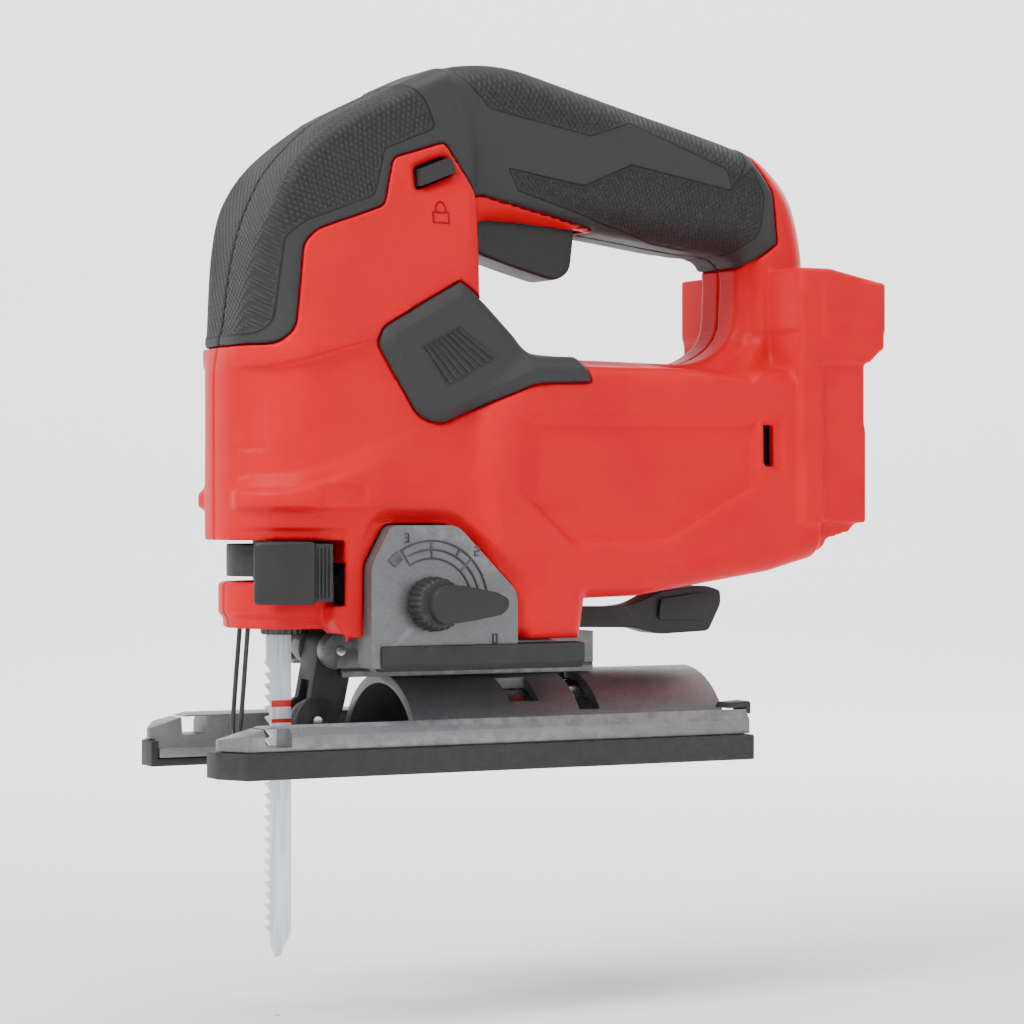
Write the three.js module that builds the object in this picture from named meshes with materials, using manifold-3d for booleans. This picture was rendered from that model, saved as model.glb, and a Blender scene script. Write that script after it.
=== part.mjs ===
// Cordless D-handle jigsaw, bare tool. Millimetres; +X is the cutting direction, +Y the tool's left, +Z up.
// The origin is where the blade's axis crosses the sole plane.
import * as THREE from "three";
import { mergeVertices } from "three/addons/utils/BufferGeometryUtils.js";
import Module from "manifold-3d";

const wasm = await Module();
wasm.setup();

// ---------- driving dimensions ----------
const TOP = 208; // sole to the top of the handle
const REAR = -190; // rear lip of the battery dock hood
const NOSE_X = 20.6; // front of the nose
const NOSE_HALF = 29.5; // half width of the nose column
const BODY_HALF = 34; // half width of the motor body
const HANDLE_HALF = 18.5; // half width of the handle
const DOCK_HALF = 36; // half width of the battery dock hood
const WALL = 4; // plastic wall with the rubber skin on it
const SKIN = 1.6; // thickness of the rubber skin
const GAP = 0.3; // clearance between pieces that touch
const RUN = 0.5; // clearance around pieces that move

const STROKE = 25.4; // blade travel
const PLUNGER_X = -2;
const PLUNGER_R = 5;
const MODULE = 1; // gear tooth module
const PINION_TEETH = 10;
const CRANK_TEETH = 48;
const MOTOR_Z = 84; // height of the motor axis
const MOTOR_R = 22.5;
const SHAFT_R = 2.5;
const MOTOR_FRONT = -104;
const MOTOR_LENGTH = 42;
const BOARD_LOW = MOTOR_Z + MOTOR_R + 4.5; // underside of the control board, over the motor
const DECK = BOARD_LOW + 9; // floor of the hand opening

const TUBE_R = 27; // outside radius of the shoe's half tube
const TUBE_WALL = 3;
const TUBE_FRONT = -33;
const TUBE_REAR = -138;
const SHOE_HALF = 38; // half width of the shoe
const SHOE_FRONT = 31; // tip of the toes
const SHOE_REAR = -140;
const TOE_INNER = 21; // half width of the blade slot between the toes
const RAIL_TOP = 15;
const COVER_H = 7.5; // height of the plastic cover band
const COVER_SOLE = 2.2; // thickness of the plastic sole

const BLADE_HALF = 4; // half width of the blade
const BLADE_THICK = 1.3;
const BLADE_TIP = -55;
const TOOTH_PITCH = 3.2;
const ROLLER_R = 6;
const UPPER_GUIDE = [135, 144]; // lower and upper end of the plunger's bushings
const LOWER_GUIDE = [68.3, 85.5];
const ARM_PIVOT = [-15, 34.3]; // X and Z of the roller arm's pivot
const KNOB = [-33.6, 48.2]; // X and Z of the orbit selector's axis
const LEVER_BOLT_X = -92; // bevel lever's bolt

const PI = Math.PI;
const SHARPEST = 0.2; // smallest rounding of a swollen outline
const WELD = 0.01; // edges shorter than this are welded away

// ---------- solids ----------
function solidOf(geometry) {
  const bare = geometry.index ? geometry.toNonIndexed() : geometry.clone();
  bare.deleteAttribute("normal");
  bare.deleteAttribute("uv");
  const merged = mergeVertices(bare, 1e-4);
  return new wasm.Manifold(new wasm.Mesh({
    numProp: 3,
    vertProperties: new Float32Array(merged.attributes.position.array),
    triVerts: new Uint32Array(merged.index.array),
  }));
}

function meshOf(solid, name, material) {
  const found = solid.simplify(WELD).getMesh();
  const geometry = new THREE.BufferGeometry();
  const xyz = new Float32Array(found.numVert * 3);
  for (let i = 0; i < found.numVert; i++) {
    for (let k = 0; k < 3; k++) xyz[i * 3 + k] = found.vertProperties[i * found.numProp + k];
  }
  geometry.setAttribute("position", new THREE.BufferAttribute(xyz, 3));
  geometry.setIndex(new THREE.BufferAttribute(new Uint32Array(found.triVerts), 1));
  geometry.computeVertexNormals();
  const mesh = new THREE.Mesh(geometry, material);
  mesh.name = name;
  return mesh;
}

const join = (...solids) => solids.reduce((a, b) => a.add(b));
const cut = (solid, ...tools) => tools.reduce((a, b) => a.subtract(b), solid);

// A closed outline; each point is [a, b] or [a, b, corner radius].
function outline(points) {
  const shape = new THREE.Shape();
  points.forEach((p, i) => {
    const before = points[(i + points.length - 1) % points.length];
    const after = points[(i + 1) % points.length];
    const at = new THREE.Vector2(p[0], p[1]);
    const r = p[2] || 0;
    const toBefore = new THREE.Vector2(before[0] - p[0], before[1] - p[1]);
    const toAfter = new THREE.Vector2(after[0] - p[0], after[1] - p[1]);
    const reach = Math.min(r, toBefore.length() * 0.45, toAfter.length() * 0.45);
    const start = at.clone().addScaledVector(toBefore.normalize(), reach);
    const end = at.clone().addScaledVector(toAfter.normalize(), reach);
    if (i === 0) shape.moveTo(start.x, start.y);
    else shape.lineTo(start.x, start.y);
    if (reach > 0) shape.quadraticCurveTo(at.x, at.y, end.x, end.y);
  });
  shape.closePath();
  return shape;
}

// The same corners moved outwards by a distance; the points run counter-clockwise.
function grown(points, distance) {
  return points.map(([a, b, ...rest], i) => {
    const [a0, b0] = points[(i + points.length - 1) % points.length];
    const [a1, b1] = points[(i + 1) % points.length];
    const before = new THREE.Vector2(b - b0, a0 - a).normalize();
    const after = new THREE.Vector2(b1 - b, a - a1).normalize();
    const miter = before.clone().add(after);
    miter.multiplyScalar(distance / (1 + before.dot(after)));
    return [a + miter.x, b + miter.y, ...rest];
  });
}

function disc(a, b, r) {
  const shape = new THREE.Shape();
  shape.absarc(a, b, r, 0, 2 * PI, false);
  return shape;
}

function extruded(shape, depth, more = {}) {
  return new THREE.ExtrudeGeometry(shape, { depth, bevelEnabled: false, curveSegments: 4, ...more });
}

// Prisms: the outline lies in XZ for alongY, in YZ for alongX and in XY for alongZ.
const TO_XZ = new THREE.Matrix4().makeRotationX(PI / 2);
const TO_YZ = new THREE.Matrix4().makeBasis(
  new THREE.Vector3(0, 1, 0), new THREE.Vector3(0, 0, 1), new THREE.Vector3(1, 0, 0));
const alongY = (shape, y0, y1, more) =>
  solidOf(extruded(shape, y1 - y0, more).applyMatrix4(TO_XZ).translate(0, y1, 0));
const alongX = (shape, x0, x1, more) =>
  solidOf(extruded(shape, x1 - x0, more).applyMatrix4(TO_YZ).translate(x0, 0, 0));
const alongZ = (shape, z0, z1, more) =>
  solidOf(extruded(shape, z1 - z0, more).translate(0, 0, z0));

function block(x0, x1, y0, y1, z0, z1) {
  const box = new THREE.BoxGeometry(x1 - x0, y1 - y0, z1 - z0);
  return solidOf(box.translate((x0 + x1) / 2, (y0 + y1) / 2, (z0 + z1) / 2));
}

function rodX(r, x0, x1, y, z, sides = 24) {
  const rod = new THREE.CylinderGeometry(r, r, x1 - x0, sides).rotateZ(PI / 2);
  return solidOf(rod.translate((x0 + x1) / 2, y, z));
}

function rodY(r, y0, y1, x, z, sides = 24) {
  const rod = new THREE.CylinderGeometry(r, r, y1 - y0, sides);
  return solidOf(rod.translate(x, (y0 + y1) / 2, z));
}

function rodZ(r, z0, z1, x, y, sides = 24) {
  const rod = new THREE.CylinderGeometry(r, r, z1 - z0, sides).rotateX(PI / 2);
  return solidOf(rod.translate(x, y, (z0 + z1) / 2));
}

// A side outline swollen to a half width, with its edges rounded off; inset moves every face inwards.
function pillow(shape, half, round, inset = 0) {
  const edge = Math.max(round - inset, SHARPEST);
  const geometry = extruded(shape, 2 * (half - inset - edge), {
    bevelEnabled: true, bevelSegments: 2, bevelThickness: edge, bevelSize: edge,
    bevelOffset: -inset - edge, curveSegments: 3,
  });
  return solidOf(geometry.applyMatrix4(TO_XZ).translate(0, half - inset - edge, 0));
}

// ---------- materials ----------
const finish = (color, roughness, metalness = 0) =>
  new THREE.MeshStandardMaterial({ color, roughness, metalness });
const redPlastic = () => finish(0xdc3439, 0.45);
const rubber = () => finish(0x424242, 0.85);
const blackPlastic = () => finish(0x2a2a2c, 0.55);
const castMetal = () => finish(0x86888a, 0.55, 0.6);
const steel = () => finish(0xb8bcc0, 0.3, 0.9);
const darkSteel = () => finish(0x3c3e40, 0.45, 0.7);
const bladeSteel = () => finish(0xe6ecef, 0.35, 0.3);
const copper = () => finish(0xb87440, 0.4, 0.8);
const boardGreen = () => finish(0x2f6b45, 0.6);
const clearPlastic = () => finish(0xf2f5f7, 0.2);

// ---------- outer form of the housing ----------
const NOSE_FLOOR = 66.5; // lower edge of the housing above the release lever
const SKIRT_Z = 37.5; // lower edge of the housing's sides beside the gear case

function noseOutline() {
  return outline([
    [NOSE_X, 15], [NOSE_X, 112], [NOSE_X - 1.7, TOP - 69, 20], [NOSE_X - 4.7, TOP - 55, 14],
    [NOSE_X - 11, TOP - 36, 16], [-8, TOP - 21, 12], [-30, TOP - 11, 12], [-47, TOP - 4],
    [-54, TOP - 24], [-54, DECK + 18], [-70, DECK - 4], [-82, 90], [-82, 15],
  ]);
}

function noseForm(inset = 0) {
  const radius = NOSE_HALF - inset;
  const plan = new THREE.Shape();
  plan.moveTo(-100, -radius);
  plan.lineTo(NOSE_X - NOSE_HALF, -radius);
  plan.absarc(NOSE_X - NOSE_HALF, 0, radius, -PI / 2, PI / 2, false);
  plan.lineTo(-100, radius);
  plan.closePath();
  const half = NOSE_HALF - inset;
  const front = outline([
    [-half - 1, 0], [half + 1, 0], [half + 1, 118, 20], [NOSE_HALF - 3 - inset, TOP - 56, 20],
    [NOSE_HALF - 9 - inset, TOP - 24, 15], [HANDLE_HALF - 2 - inset, TOP + 6],
    [2 - HANDLE_HALF + inset, TOP + 6], [9 - NOSE_HALF + inset, TOP - 24, 15],
    [3 - NOSE_HALF + inset, TOP - 56, 20], [-half - 1, 118, 20],
  ]);
  const swollen = pillow(noseOutline(), NOSE_HALF + 1, 9, inset);
  return swollen
    .intersect(alongZ(plan, 0, TOP + 20, { curveSegments: 14 }))
    .intersect(alongX(front, -110, NOSE_X + 5));
}

function handleLoop(inset = 0) {
  const shape = outline([
    [0, DECK - 25], [4, TOP - 40, 12], [-8, TOP - 21, 20], [-30, TOP - 10, 20], [-48, TOP - 1, 14],
    [-68, TOP + 0.7, 18], [-108, TOP - 9.5, 20], [REAR + 46, TOP - 18, 20], [REAR + 30, TOP - 22, 12],
    [REAR + 18, TOP - 33, 12], [REAR + 13, TOP - 50, 16], [REAR + 12, DECK - 25],
  ]);
  const hand = new THREE.Path();
  const opening = outline([
    [-57, TOP - 46, 8], [-57, DECK + 20, 10], [-74, DECK + 1, 10], [REAR + 53, DECK, 10],
    [REAR + 40, DECK + 8, 8], [REAR + 39, TOP - 54, 7], [REAR + 58, TOP - 53, 10], [-95, TOP - 48, 20],
  ]);
  hand.setFromPoints(opening.getPoints(2));
  shape.holes.push(hand);
  return pillow(shape, HANDLE_HALF, 10, inset);
}

function motorBody(inset = 0) {
  const shape = outline([
    [-50, 104], [-66, DECK - 1.5], [REAR + 34, DECK - 1.5], [REAR + 5, DECK + 10], [REAR + 5, 70],
    [REAR + 9, 64.5], [REAR + 39, 56.5], [-104, 49.5], [-86, 49], [-84, 36], [-50, 36],
  ]);
  return pillow(shape, BODY_HALF, 7, inset);
}

function dockHood(inset = 0) {
  const shape = outline([
    [REAR + 32, 70], [REAR + 32, 149.5], [REAR + 20, 149.5], [REAR, 145.5], [REAR, 125],
    [REAR + 5.5, 120], [REAR + 5.5, 70],
  ]);
  return pillow(shape, DOCK_HALF, 2.5, inset);
}

const outerForm = (inset) => join(noseForm(inset), handleLoop(inset), motorBody(inset), dockHood(inset));

// ---------- gear case ----------
const CASE_FRONT = -17;
const CASE_REAR = -84;
const CASE_BOTTOM = 29;
const CASE_TOP = 37;
const CASE_HALF = 30;
const CASE_INNER = 26.4; // half width of the gear case where it stands inside the housing
const SADDLE_HALF = 8;
const SWEEP_R = 39.3; // the shoe's rails sweep inside this radius when the shoe tilts
const PLATE_OUT = 33; // outer face of the gear case's side plates
const SPINE = [-48, -41];

function sidePlateOutline(grow = 0) {
  return outline([
    [-14.6 + grow, 30 - grow], [-14.6 + grow, 59.3 + grow, 2], [-20.9, 70.8 + grow, 2],
    [-42, 70.8 + grow, 3], [-61.7 - grow, 51.3, 3], [-61.7 - grow, 30 - grow],
  ]);
}

function caseBase() {
  const section = new THREE.Shape();
  const arch = Math.sqrt(SWEEP_R ** 2 - SADDLE_HALF ** 2);
  const skirt = Math.sqrt(SWEEP_R ** 2 - CASE_BOTTOM ** 2);
  const saddle = TUBE_R + RUN;
  section.moveTo(-CASE_HALF, CASE_BOTTOM);
  section.lineTo(-skirt, CASE_BOTTOM);
  section.absarc(0, 0, SWEEP_R,
    PI - Math.atan2(CASE_BOTTOM, skirt), PI - Math.atan2(arch, SADDLE_HALF), true);
  section.lineTo(-SADDLE_HALF, Math.sqrt(saddle ** 2 - SADDLE_HALF ** 2));
  section.absarc(0, 0, saddle, PI / 2 + Math.asin(SADDLE_HALF / saddle),
    PI / 2 - Math.asin(SADDLE_HALF / saddle), true);
  section.lineTo(SADDLE_HALF, arch);
  section.absarc(0, 0, SWEEP_R, Math.atan2(arch, SADDLE_HALF), Math.atan2(CASE_BOTTOM, skirt), true);
  section.lineTo(CASE_HALF, CASE_BOTTOM);
  section.lineTo(CASE_HALF, CASE_TOP);
  section.lineTo(CASE_INNER, CASE_TOP);
  section.lineTo(CASE_INNER, CASE_TOP + 5);
  section.lineTo(-CASE_INNER, CASE_TOP + 5);
  section.lineTo(-CASE_INNER, CASE_TOP);
  section.lineTo(-CASE_HALF, CASE_TOP);
  section.closePath();
  return section;
}

function gearHousing() {
  const base = alongX(caseBase(), CASE_REAR + 8, CASE_FRONT);
  const tongue = cut(
    block(LEVER_BOLT_X - 9, CASE_REAR + 10, -SADDLE_HALF, SADDLE_HALF, 20, CASE_TOP + 1.5),
    rodX(TUBE_R + RUN, LEVER_BOLT_X - 12, CASE_REAR + 12, 0, 0, 64));
  const sides = [-1, 1].map((side) => {
    const low = side > 0 ? 24 : -PLATE_OUT;
    return alongY(sidePlateOutline(), low, low + PLATE_OUT - 24);
  });
  const spine = block(...SPINE, -14, 14, 38, 152);
  const topArm = block(SPINE[0], PLUNGER_X + 4, -10, 10, ...UPPER_GUIDE);
  const lowArm = block(SPINE[0], PLUNGER_X, -10, 10, NOSE_FLOOR + 0.4, 74);
  const ears = [-1, 1].map((side) => join(
    rodY(5.5, side > 0 ? 6.6 : -12, side > 0 ? 12 : -6.6, ...ARM_PIVOT),
    block(ARM_PIVOT[0] - 10, ARM_PIVOT[0], side > 0 ? 6.6 : -12, side > 0 ? 12 : -6.6,
      ARM_PIVOT[1] + 0.5, ARM_PIVOT[1] + 5.5)));
  const whole = join(base, tongue, ...sides, spine, topArm, lowArm, ...ears,
    rodZ(9.5, ...UPPER_GUIDE, PLUNGER_X, 0), rodZ(9.2, 55, LOWER_GUIDE[1], PLUNGER_X, 0));
  return cut(whole,
    rodX(SWEEP_R, CASE_REAR - 5, CASE_FRONT + 2, 0, 0, 96).subtract(
      block(CASE_REAR - 30, CASE_FRONT + 2, -SADDLE_HALF, SADDLE_HALF, 20, 60)),
    block(-30, CASE_FRONT + 12, -6.6, 6.6, 20, 53), railSweep(),
    rodX((MODULE * CRANK_TEETH) / 2 + 2, GEAR_FRONT - GEAR_FACE - 1, GEAR_FRONT + 1, 0, CRANK_Z, 40),
    rodZ(BUSH_R + GAP, 130, 160, PLUNGER_X, 0),
    rodZ(BUSH_R + GAP, 50, 90, PLUNGER_X, 0),
    rodX(AXLE_BEARING_R + GAP, SPINE[0] + 1, SPINE[1] + 1, 0, CRANK_Z),
    rodX(3.6, SPINE[0] - 1, SPINE[1] + 1, 0, CRANK_Z),
    rodX(NOSE_BEARING_R + GAP, SPINE[0] + 1, SPINE[1] + 1, 0, MOTOR_Z),
    rodX(SHAFT_R + 1, SPINE[0] - 1, SPINE[1] + 1, 0, MOTOR_Z),
    rodY(1.5 + GAP, -14, 14, ...ARM_PIVOT),
    rodY(KNOB_SHAFT_R + RUN, 0, PLATE_OUT + 1, ...KNOB),
    rodZ(LEVER_BOLT_R + RUN, 20, 45, LEVER_BOLT_X, 0));
}

// ---------- housing halves and skins ----------
const SCREWS = [
  [8, TOP - 50], [-52, TOP - 15], [-118, TOP - 33], [REAR + 31, TOP - 38],
  [REAR + 34, DECK + 7], [REAR + 33, 67], [-90, 57.5], [-62, DECK - 14],
];
const WORK_LIGHT = { x: -4, y: -18.2, r: 1.8 };
const BOSS_R = 3.9;
const THUMB_INNER = -13; // the thumb pads stop here, towards the hand opening
const SCREW_R = 1.7;

// Side outline of the rubber grip, from the front edge of the nose up and over the handle.
function rubberRegion(grow = 0) {
  return outline(grown([
    [60, TOP + 30], [REAR + 40, TOP + 10], [REAR + 36, TOP - 32], [REAR + 37, TOP - 48],
    [REAR + 43, TOP - 56], [REAR + 55, TOP - 64], [-72, TOP - 60], [-54, TOP - 41],
    [-44, TOP - 27], [-27, TOP - 34], [-24, TOP - 46], [-1.5, TOP - 55], [2, TOP - 59],
    [2.5, 126], [7, 122.5], [60, 122],
  ], grow));
}

function thumbRegion(grow = 0) {
  return outline(grown([
    [-64, 130], [-86.4, 125], [-86.4, 112.9], [-68, 112.2, 3], [-38.9, 99.8, 3],
    [-31.8, 102, 3], [-19.7, 122.8, 3], [-21.3, 127.7, 3], [-46, 142],
  ], grow));
}

// The rubber skins of the right half, and their mirror images.
function skins(solids) {
  const rightSide = block(-300, 100, -90, -GAP / 2, -100, TOP + 50);
  const skin = cut(solids.outer, solids.skinFloor).intersect(rightSide);
  const grip = cut(skin.intersect(alongY(rubberRegion(), -50, 0)), lockButtonSlot(RUN), triggerSlot(RUN + 1));
  const thumb = skin.intersect(alongY(thumbRegion(), -50, THUMB_INNER));
  const right = { grip_right: largest(grip), thumb_pad_right: largest(thumb) };
  return {
    ...right,
    grip_left: right.grip_right.mirror([0, 1, 0]),
    thumb_pad_left: right.thumb_pad_right.mirror([0, 1, 0]),
  };
}

// The biggest connected body of a solid; crumbs left by a cut are dropped.
function largest(solid) {
  return solid.decompose().sort((a, b) => b.volume() - a.volume())[0];
}

function dockRecess() {
  return join(
    block(REAR - 5, REAR + 20, -31.5, 31.5, 40, 126),
    block(REAR + 3, REAR + 20, -31.5, 31.5, 120, 142));
}

function dockRails() {
  const rails = [-1, 1].map((side) => {
    const low = side > 0 ? 28 : -32.5;
    return block(REAR + 6.5, REAR + 10, low, low + 4.5, 74, 118);
  });
  return join(...rails);
}

function lockButtonSlot(grow) {
  const shape = outline([
    [-34.5 + grow, 174.2 + TOP - 208 + grow], [-45 - grow, 178.2 + TOP - 208 + grow, 1],
    [-47 - grow, 173.5 + TOP - 208], [-34.5 + grow, 168.4 + TOP - 208 - grow],
  ]);
  return alongY(shape, -24.5 - grow * 20, 24.5 + grow * 20);
}

function triggerSlot(grow) {
  return block(-97 - grow, -61 + grow, -8 - grow, 8 + grow, TOP - 68, TOP - 41 + grow);
}

function workLightHole() {
  return rodZ(WORK_LIGHT.r + GAP, 30, 46, WORK_LIGHT.x, WORK_LIGHT.y, 12);
}

function noseRing() {
  const plan = new THREE.Shape();
  plan.moveTo(-24, -28.5);
  plan.lineTo(-12, -28.5);
  plan.absarc(-4, 0, 21, -PI * 0.52, PI * 0.52, false);
  plan.lineTo(-12, 28.5);
  plan.lineTo(-24, 28.5);
  plan.closePath();
  const ring = alongZ(plan, 41, 54.5, { curveSegments: 16 });
  return cut(ring, rodZ(15.5, 30, 60, PLUNGER_X, 0, 32), block(-30, PLUNGER_X, -15.5, 15.5, 30, 60));
}

// The right half is shaped first; the left half is its mirror image, opened for the release lever.
function housingHalves(solids) {
  const rightSide = block(-300, 100, -90, -GAP / 2, -100, TOP + 50);
  const cavity = solids.cavity.intersect(block(REAR + 23, 60, -60, 60, 0, TOP + 20));
  const bosses = join(...SCREWS.map(([x, z]) => rodY(BOSS_R, -26, 0, x, z, 12)))
    .intersect(solids.skinFloor);
  const lowerCut = block(-9, 60, -60, 60, 0, NOSE_FLOOR);
  const gearPocket = join(
    block(CASE_REAR - 0.3, 60, -60, 60, 0, SKIRT_Z),
    alongY(sidePlateOutline(GAP + 0.1), -60, -20),
    block(CASE_REAR, -9, -27, 27, 0, 60),
    block(LEVER_BOLT_X - 10, -70, -17, 17, 0, SKIRT_Z + 10));
  const pockets = cut(solids.outer, solids.skinBase.intersect(solids.skinFloor)).intersect(join(
    alongY(rubberRegion(GAP), -60, 5), alongY(thumbRegion(GAP), -60, THUMB_INNER + GAP)));
  const vent = alongY(outline([[-146.5, 88], [-146.5, 101], [-150.5, 101], [-150.5, 88]]), -60, -25);
  const shell = cut(join(cut(solids.outer, lowerCut, cavity), noseRing(), bosses), gearPocket, pockets,
    dockRecess(), lockButtonSlot(RUN), triggerSlot(RUN), vent, gearCaseRoom(), leverRoom(), motorRoom(),
    block(REAR + 18, REAR + 26, -22, 22, 80, 116));
  const pilot = join(...SCREWS.map(([x, z]) => rodY(SCREW_R + GAP, -60, 0, x, z, 8)));
  const half = cut(join(shell, dockRails()), pilot).intersect(rightSide);
  const heads = join(...SCREWS.map(([x, z]) => rodY(3 + GAP, -60, -10 + GAP, x, z, 12)));
  const plugs = join(...SCREWS.map(([x, z]) => rodY(BOSS_R - 0.5, 14, 30, x, z, 12)))
    .intersect(solids.skinBase);
  return {
    housing_left: largest(cut(join(half.mirror([0, 1, 0]), plugs),
      leverSweep(), workLightHole().mirror([0, 1, 0]))),
    housing_right: largest(cut(half, heads, workLightHole())),
  };
}

// Room inside the housing's lower sides for the gear case's frame.
function gearCaseRoom() {
  return join(
    block(SPINE[0] - 0.5, SPINE[1] + 0.5, -14.5, 14.5, 30, 152.5),
    block(SPINE[0] - 0.5, 8, -10.5, 10.5, UPPER_GUIDE[0] - 0.5, UPPER_GUIDE[1] + 0.5));
}

// The room inside the housing's body for the motor's stator.
function motorRoom() {
  return rodX(MOTOR_R + RUN, MOTOR_REAR - RUN, MOTOR_FRONT + RUN, 0, MOTOR_Z, 32);
}

// The room that the blade release lever's hub turns in.
function leverRoom() {
  return rodZ(17.4, 55, NOSE_FLOOR, PLUNGER_X, 0, 40);
}

// The room that the lever's grip swings through, on the left.
function leverSweep() {
  return join(
    cut(rodZ(34.5, 47.8, NOSE_FLOOR, PLUNGER_X, 0, 48), rodZ(21.4, 40, 55, PLUNGER_X, 0, 40),
      block(-60, -8.6, -60, 60, 40, 70), block(-60, 60, -60, -13, 40, 70)));
}

// ---------- drive ----------
const CRANK_Z = MOTOR_Z + (MODULE * (PINION_TEETH + CRANK_TEETH)) / 2;
const GEAR_FRONT = -30;
const GEAR_FACE = 6;
const AXLE_R = 3;
const AXLE_BEARING_R = 8;
const NOSE_BEARING_R = 6.5;
const BUSH_R = 7.2;
const KNOB_SHAFT_R = 3;
const LEVER_BOLT_R = 3;

// A spur gear outline with straight-flanked teeth and backlash.
function gearOutline(teeth, start) {
  const pitchR = (MODULE * teeth) / 2;
  const points = [];
  for (let i = 0; i < teeth; i++) {
    const middle = start + (i * 2 * PI) / teeth;
    const tooth = (2 * PI) / teeth;
    for (const [r, share] of [[-1.2, -0.3], [0.85, -0.13], [0.85, 0.13], [-1.2, 0.3]]) {
      const angle = middle + share * tooth;
      const radius = pitchR + r * MODULE;
      points.push(new THREE.Vector2(radius * Math.cos(angle), radius * Math.sin(angle)));
    }
  }
  return new THREE.Shape(points);
}

function crankGear() {
  const teeth = gearOutline(CRANK_TEETH, PI / CRANK_TEETH - PI / 2);
  const wheel = alongX(teeth, GEAR_FRONT - GEAR_FACE, GEAR_FRONT).translate([0, 0, CRANK_Z]);
  const lightening = [-1, 1].map((side) =>
    rodX(5.5, GEAR_FRONT - 20, GEAR_FRONT + 5, -4, CRANK_Z + side * 14, 20));
  return cut(wheel, rodX(AXLE_R + GAP, -60, 0, 0, CRANK_Z), rodX(2.5 + GAP, -60, 0, STROKE / 2, CRANK_Z),
    ...lightening);
}

function crankPin() {
  const reach = PLUNGER_X - 10.5;
  return join(rodX(2.5, GEAR_FRONT - GEAR_FACE, reach, STROKE / 2, CRANK_Z, 20),
    rodX(3.6, GEAR_FRONT + 0.4, GEAR_FRONT + 1.6, STROKE / 2, CRANK_Z, 20));
}

function gearAxle() {
  return join(rodX(AXLE_R, SPINE[0] - 1.5, GEAR_FRONT + 0.4, 0, CRANK_Z, 20),
    rodX(5, GEAR_FRONT + 0.4, GEAR_FRONT + 1.8, 0, CRANK_Z, 20));
}

function bearing(outer, inner, x0, x1, z) {
  return cut(rodX(outer, x0, x1, 0, z, 20), rodX(inner + GAP, x0 - 1, x1 + 1, 0, z, 16));
}

function plunger() {
  const bar = rodZ(PLUNGER_R, 55, UPPER_GUIDE[1] + STROKE / 2 + 0.3, PLUNGER_X, 0);
  const yoke = cut(
    block(PLUNGER_X - 10, PLUNGER_X - 1, -22, 22, CRANK_Z - 8.5, CRANK_Z + 8.5),
    block(PLUNGER_X - 11, PLUNGER_X - 5.2, -STROKE / 2 - 4.5, STROKE / 2 + 4.5, CRANK_Z - 4, CRANK_Z + 4));
  return join(bar, yoke);
}

const CLAMP_R = 6.8;
const CLAMP_Z = [39, 54.6];
const BLADE_TOP = 49;

function bladeClamp() {
  const slot = block(-BLADE_HALF - GAP, BLADE_HALF + 5, -BLADE_THICK / 2 - GAP, BLADE_THICK / 2 + GAP,
    CLAMP_Z[0] - 1, BLADE_TOP + GAP);
  const collar = cut(rodZ(CLAMP_R, ...CLAMP_Z, PLUNGER_X, 0),
    rodZ(CLAMP_R + 1, 43.4, 44.6, PLUNGER_X, 0).subtract(rodZ(CLAMP_R - 0.8, 43, 45, PLUNGER_X, 0)));
  return cut(collar, slot);
}

function blade() {
  const shape = new THREE.Shape();
  const toothTop = 22;
  const count = Math.floor((toothTop - BLADE_TIP - 6) / TOOTH_PITCH);
  shape.moveTo(-BLADE_HALF, BLADE_TOP);
  shape.lineTo(-BLADE_HALF, BLADE_TIP + 6);
  shape.lineTo(BLADE_HALF - 2, BLADE_TIP);
  shape.lineTo(BLADE_HALF - 0.6, BLADE_TIP);
  for (let i = count - 1; i >= 0; i--) {
    const z = toothTop - (i + 1) * TOOTH_PITCH;
    shape.lineTo(BLADE_HALF - 1.4, z + 0.1);
    shape.lineTo(BLADE_HALF, z + TOOTH_PITCH * 0.8);
    shape.lineTo(BLADE_HALF - 0.4, z + TOOTH_PITCH * 0.95);
  }
  shape.lineTo(BLADE_HALF - 0.5, toothTop + 1);
  shape.lineTo(BLADE_HALF - 0.5, BLADE_TOP);
  shape.closePath();
  return alongY(shape, -BLADE_THICK / 2, BLADE_THICK / 2);
}

// ---------- motor ----------
const MOTOR_REAR = MOTOR_FRONT - MOTOR_LENGTH;
const ROTOR_R = 12;
const FAN_R = 20;

function stator() {
  const slots = [];
  for (let i = 0; i < 6; i++) {
    const angle = (i * PI) / 3 + PI / 6;
    const [y, z] = [16 * Math.cos(angle), MOTOR_Z + 16 * Math.sin(angle)];
    slots.push(rodX(2.6, MOTOR_REAR - 1, MOTOR_FRONT + 1, y, z, 12));
  }
  return cut(rodX(MOTOR_R, MOTOR_REAR + 10, MOTOR_FRONT, 0, MOTOR_Z, 32),
    rodX(ROTOR_R + RUN, MOTOR_REAR - 1, MOTOR_FRONT + 1, 0, MOTOR_Z, 32), ...slots);
}

function rotor() {
  return cut(rodX(ROTOR_R, MOTOR_REAR + 9, MOTOR_FRONT + 1, 0, MOTOR_Z, 28),
    rodX(SHAFT_R + GAP, MOTOR_REAR - 1, MOTOR_FRONT + 2, 0, MOTOR_Z));
}

function fan() {
  const back = MOTOR_REAR;
  const hub = join(rodX(FAN_R, back + 5.6, back + 7, 0, MOTOR_Z, 28),
    rodX(6, back + 1, back + 7, 0, MOTOR_Z));
  const vanes = [];
  for (let i = 0; i < 12; i++) {
    const vane = block(back + 1, back + 6, -0.6, 0.6, 5, FAN_R - 1);
    vanes.push(vane.rotate([(i * 360) / 12, 0, 0]).translate([0, 0, MOTOR_Z]));
  }
  return cut(join(hub, ...vanes), rodX(SHAFT_R + GAP, back - 1, back + 9, 0, MOTOR_Z));
}

function motorShaft() {
  return rodX(SHAFT_R, MOTOR_REAR - 8, GEAR_FRONT + 1, 0, MOTOR_Z, 20);
}

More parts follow.
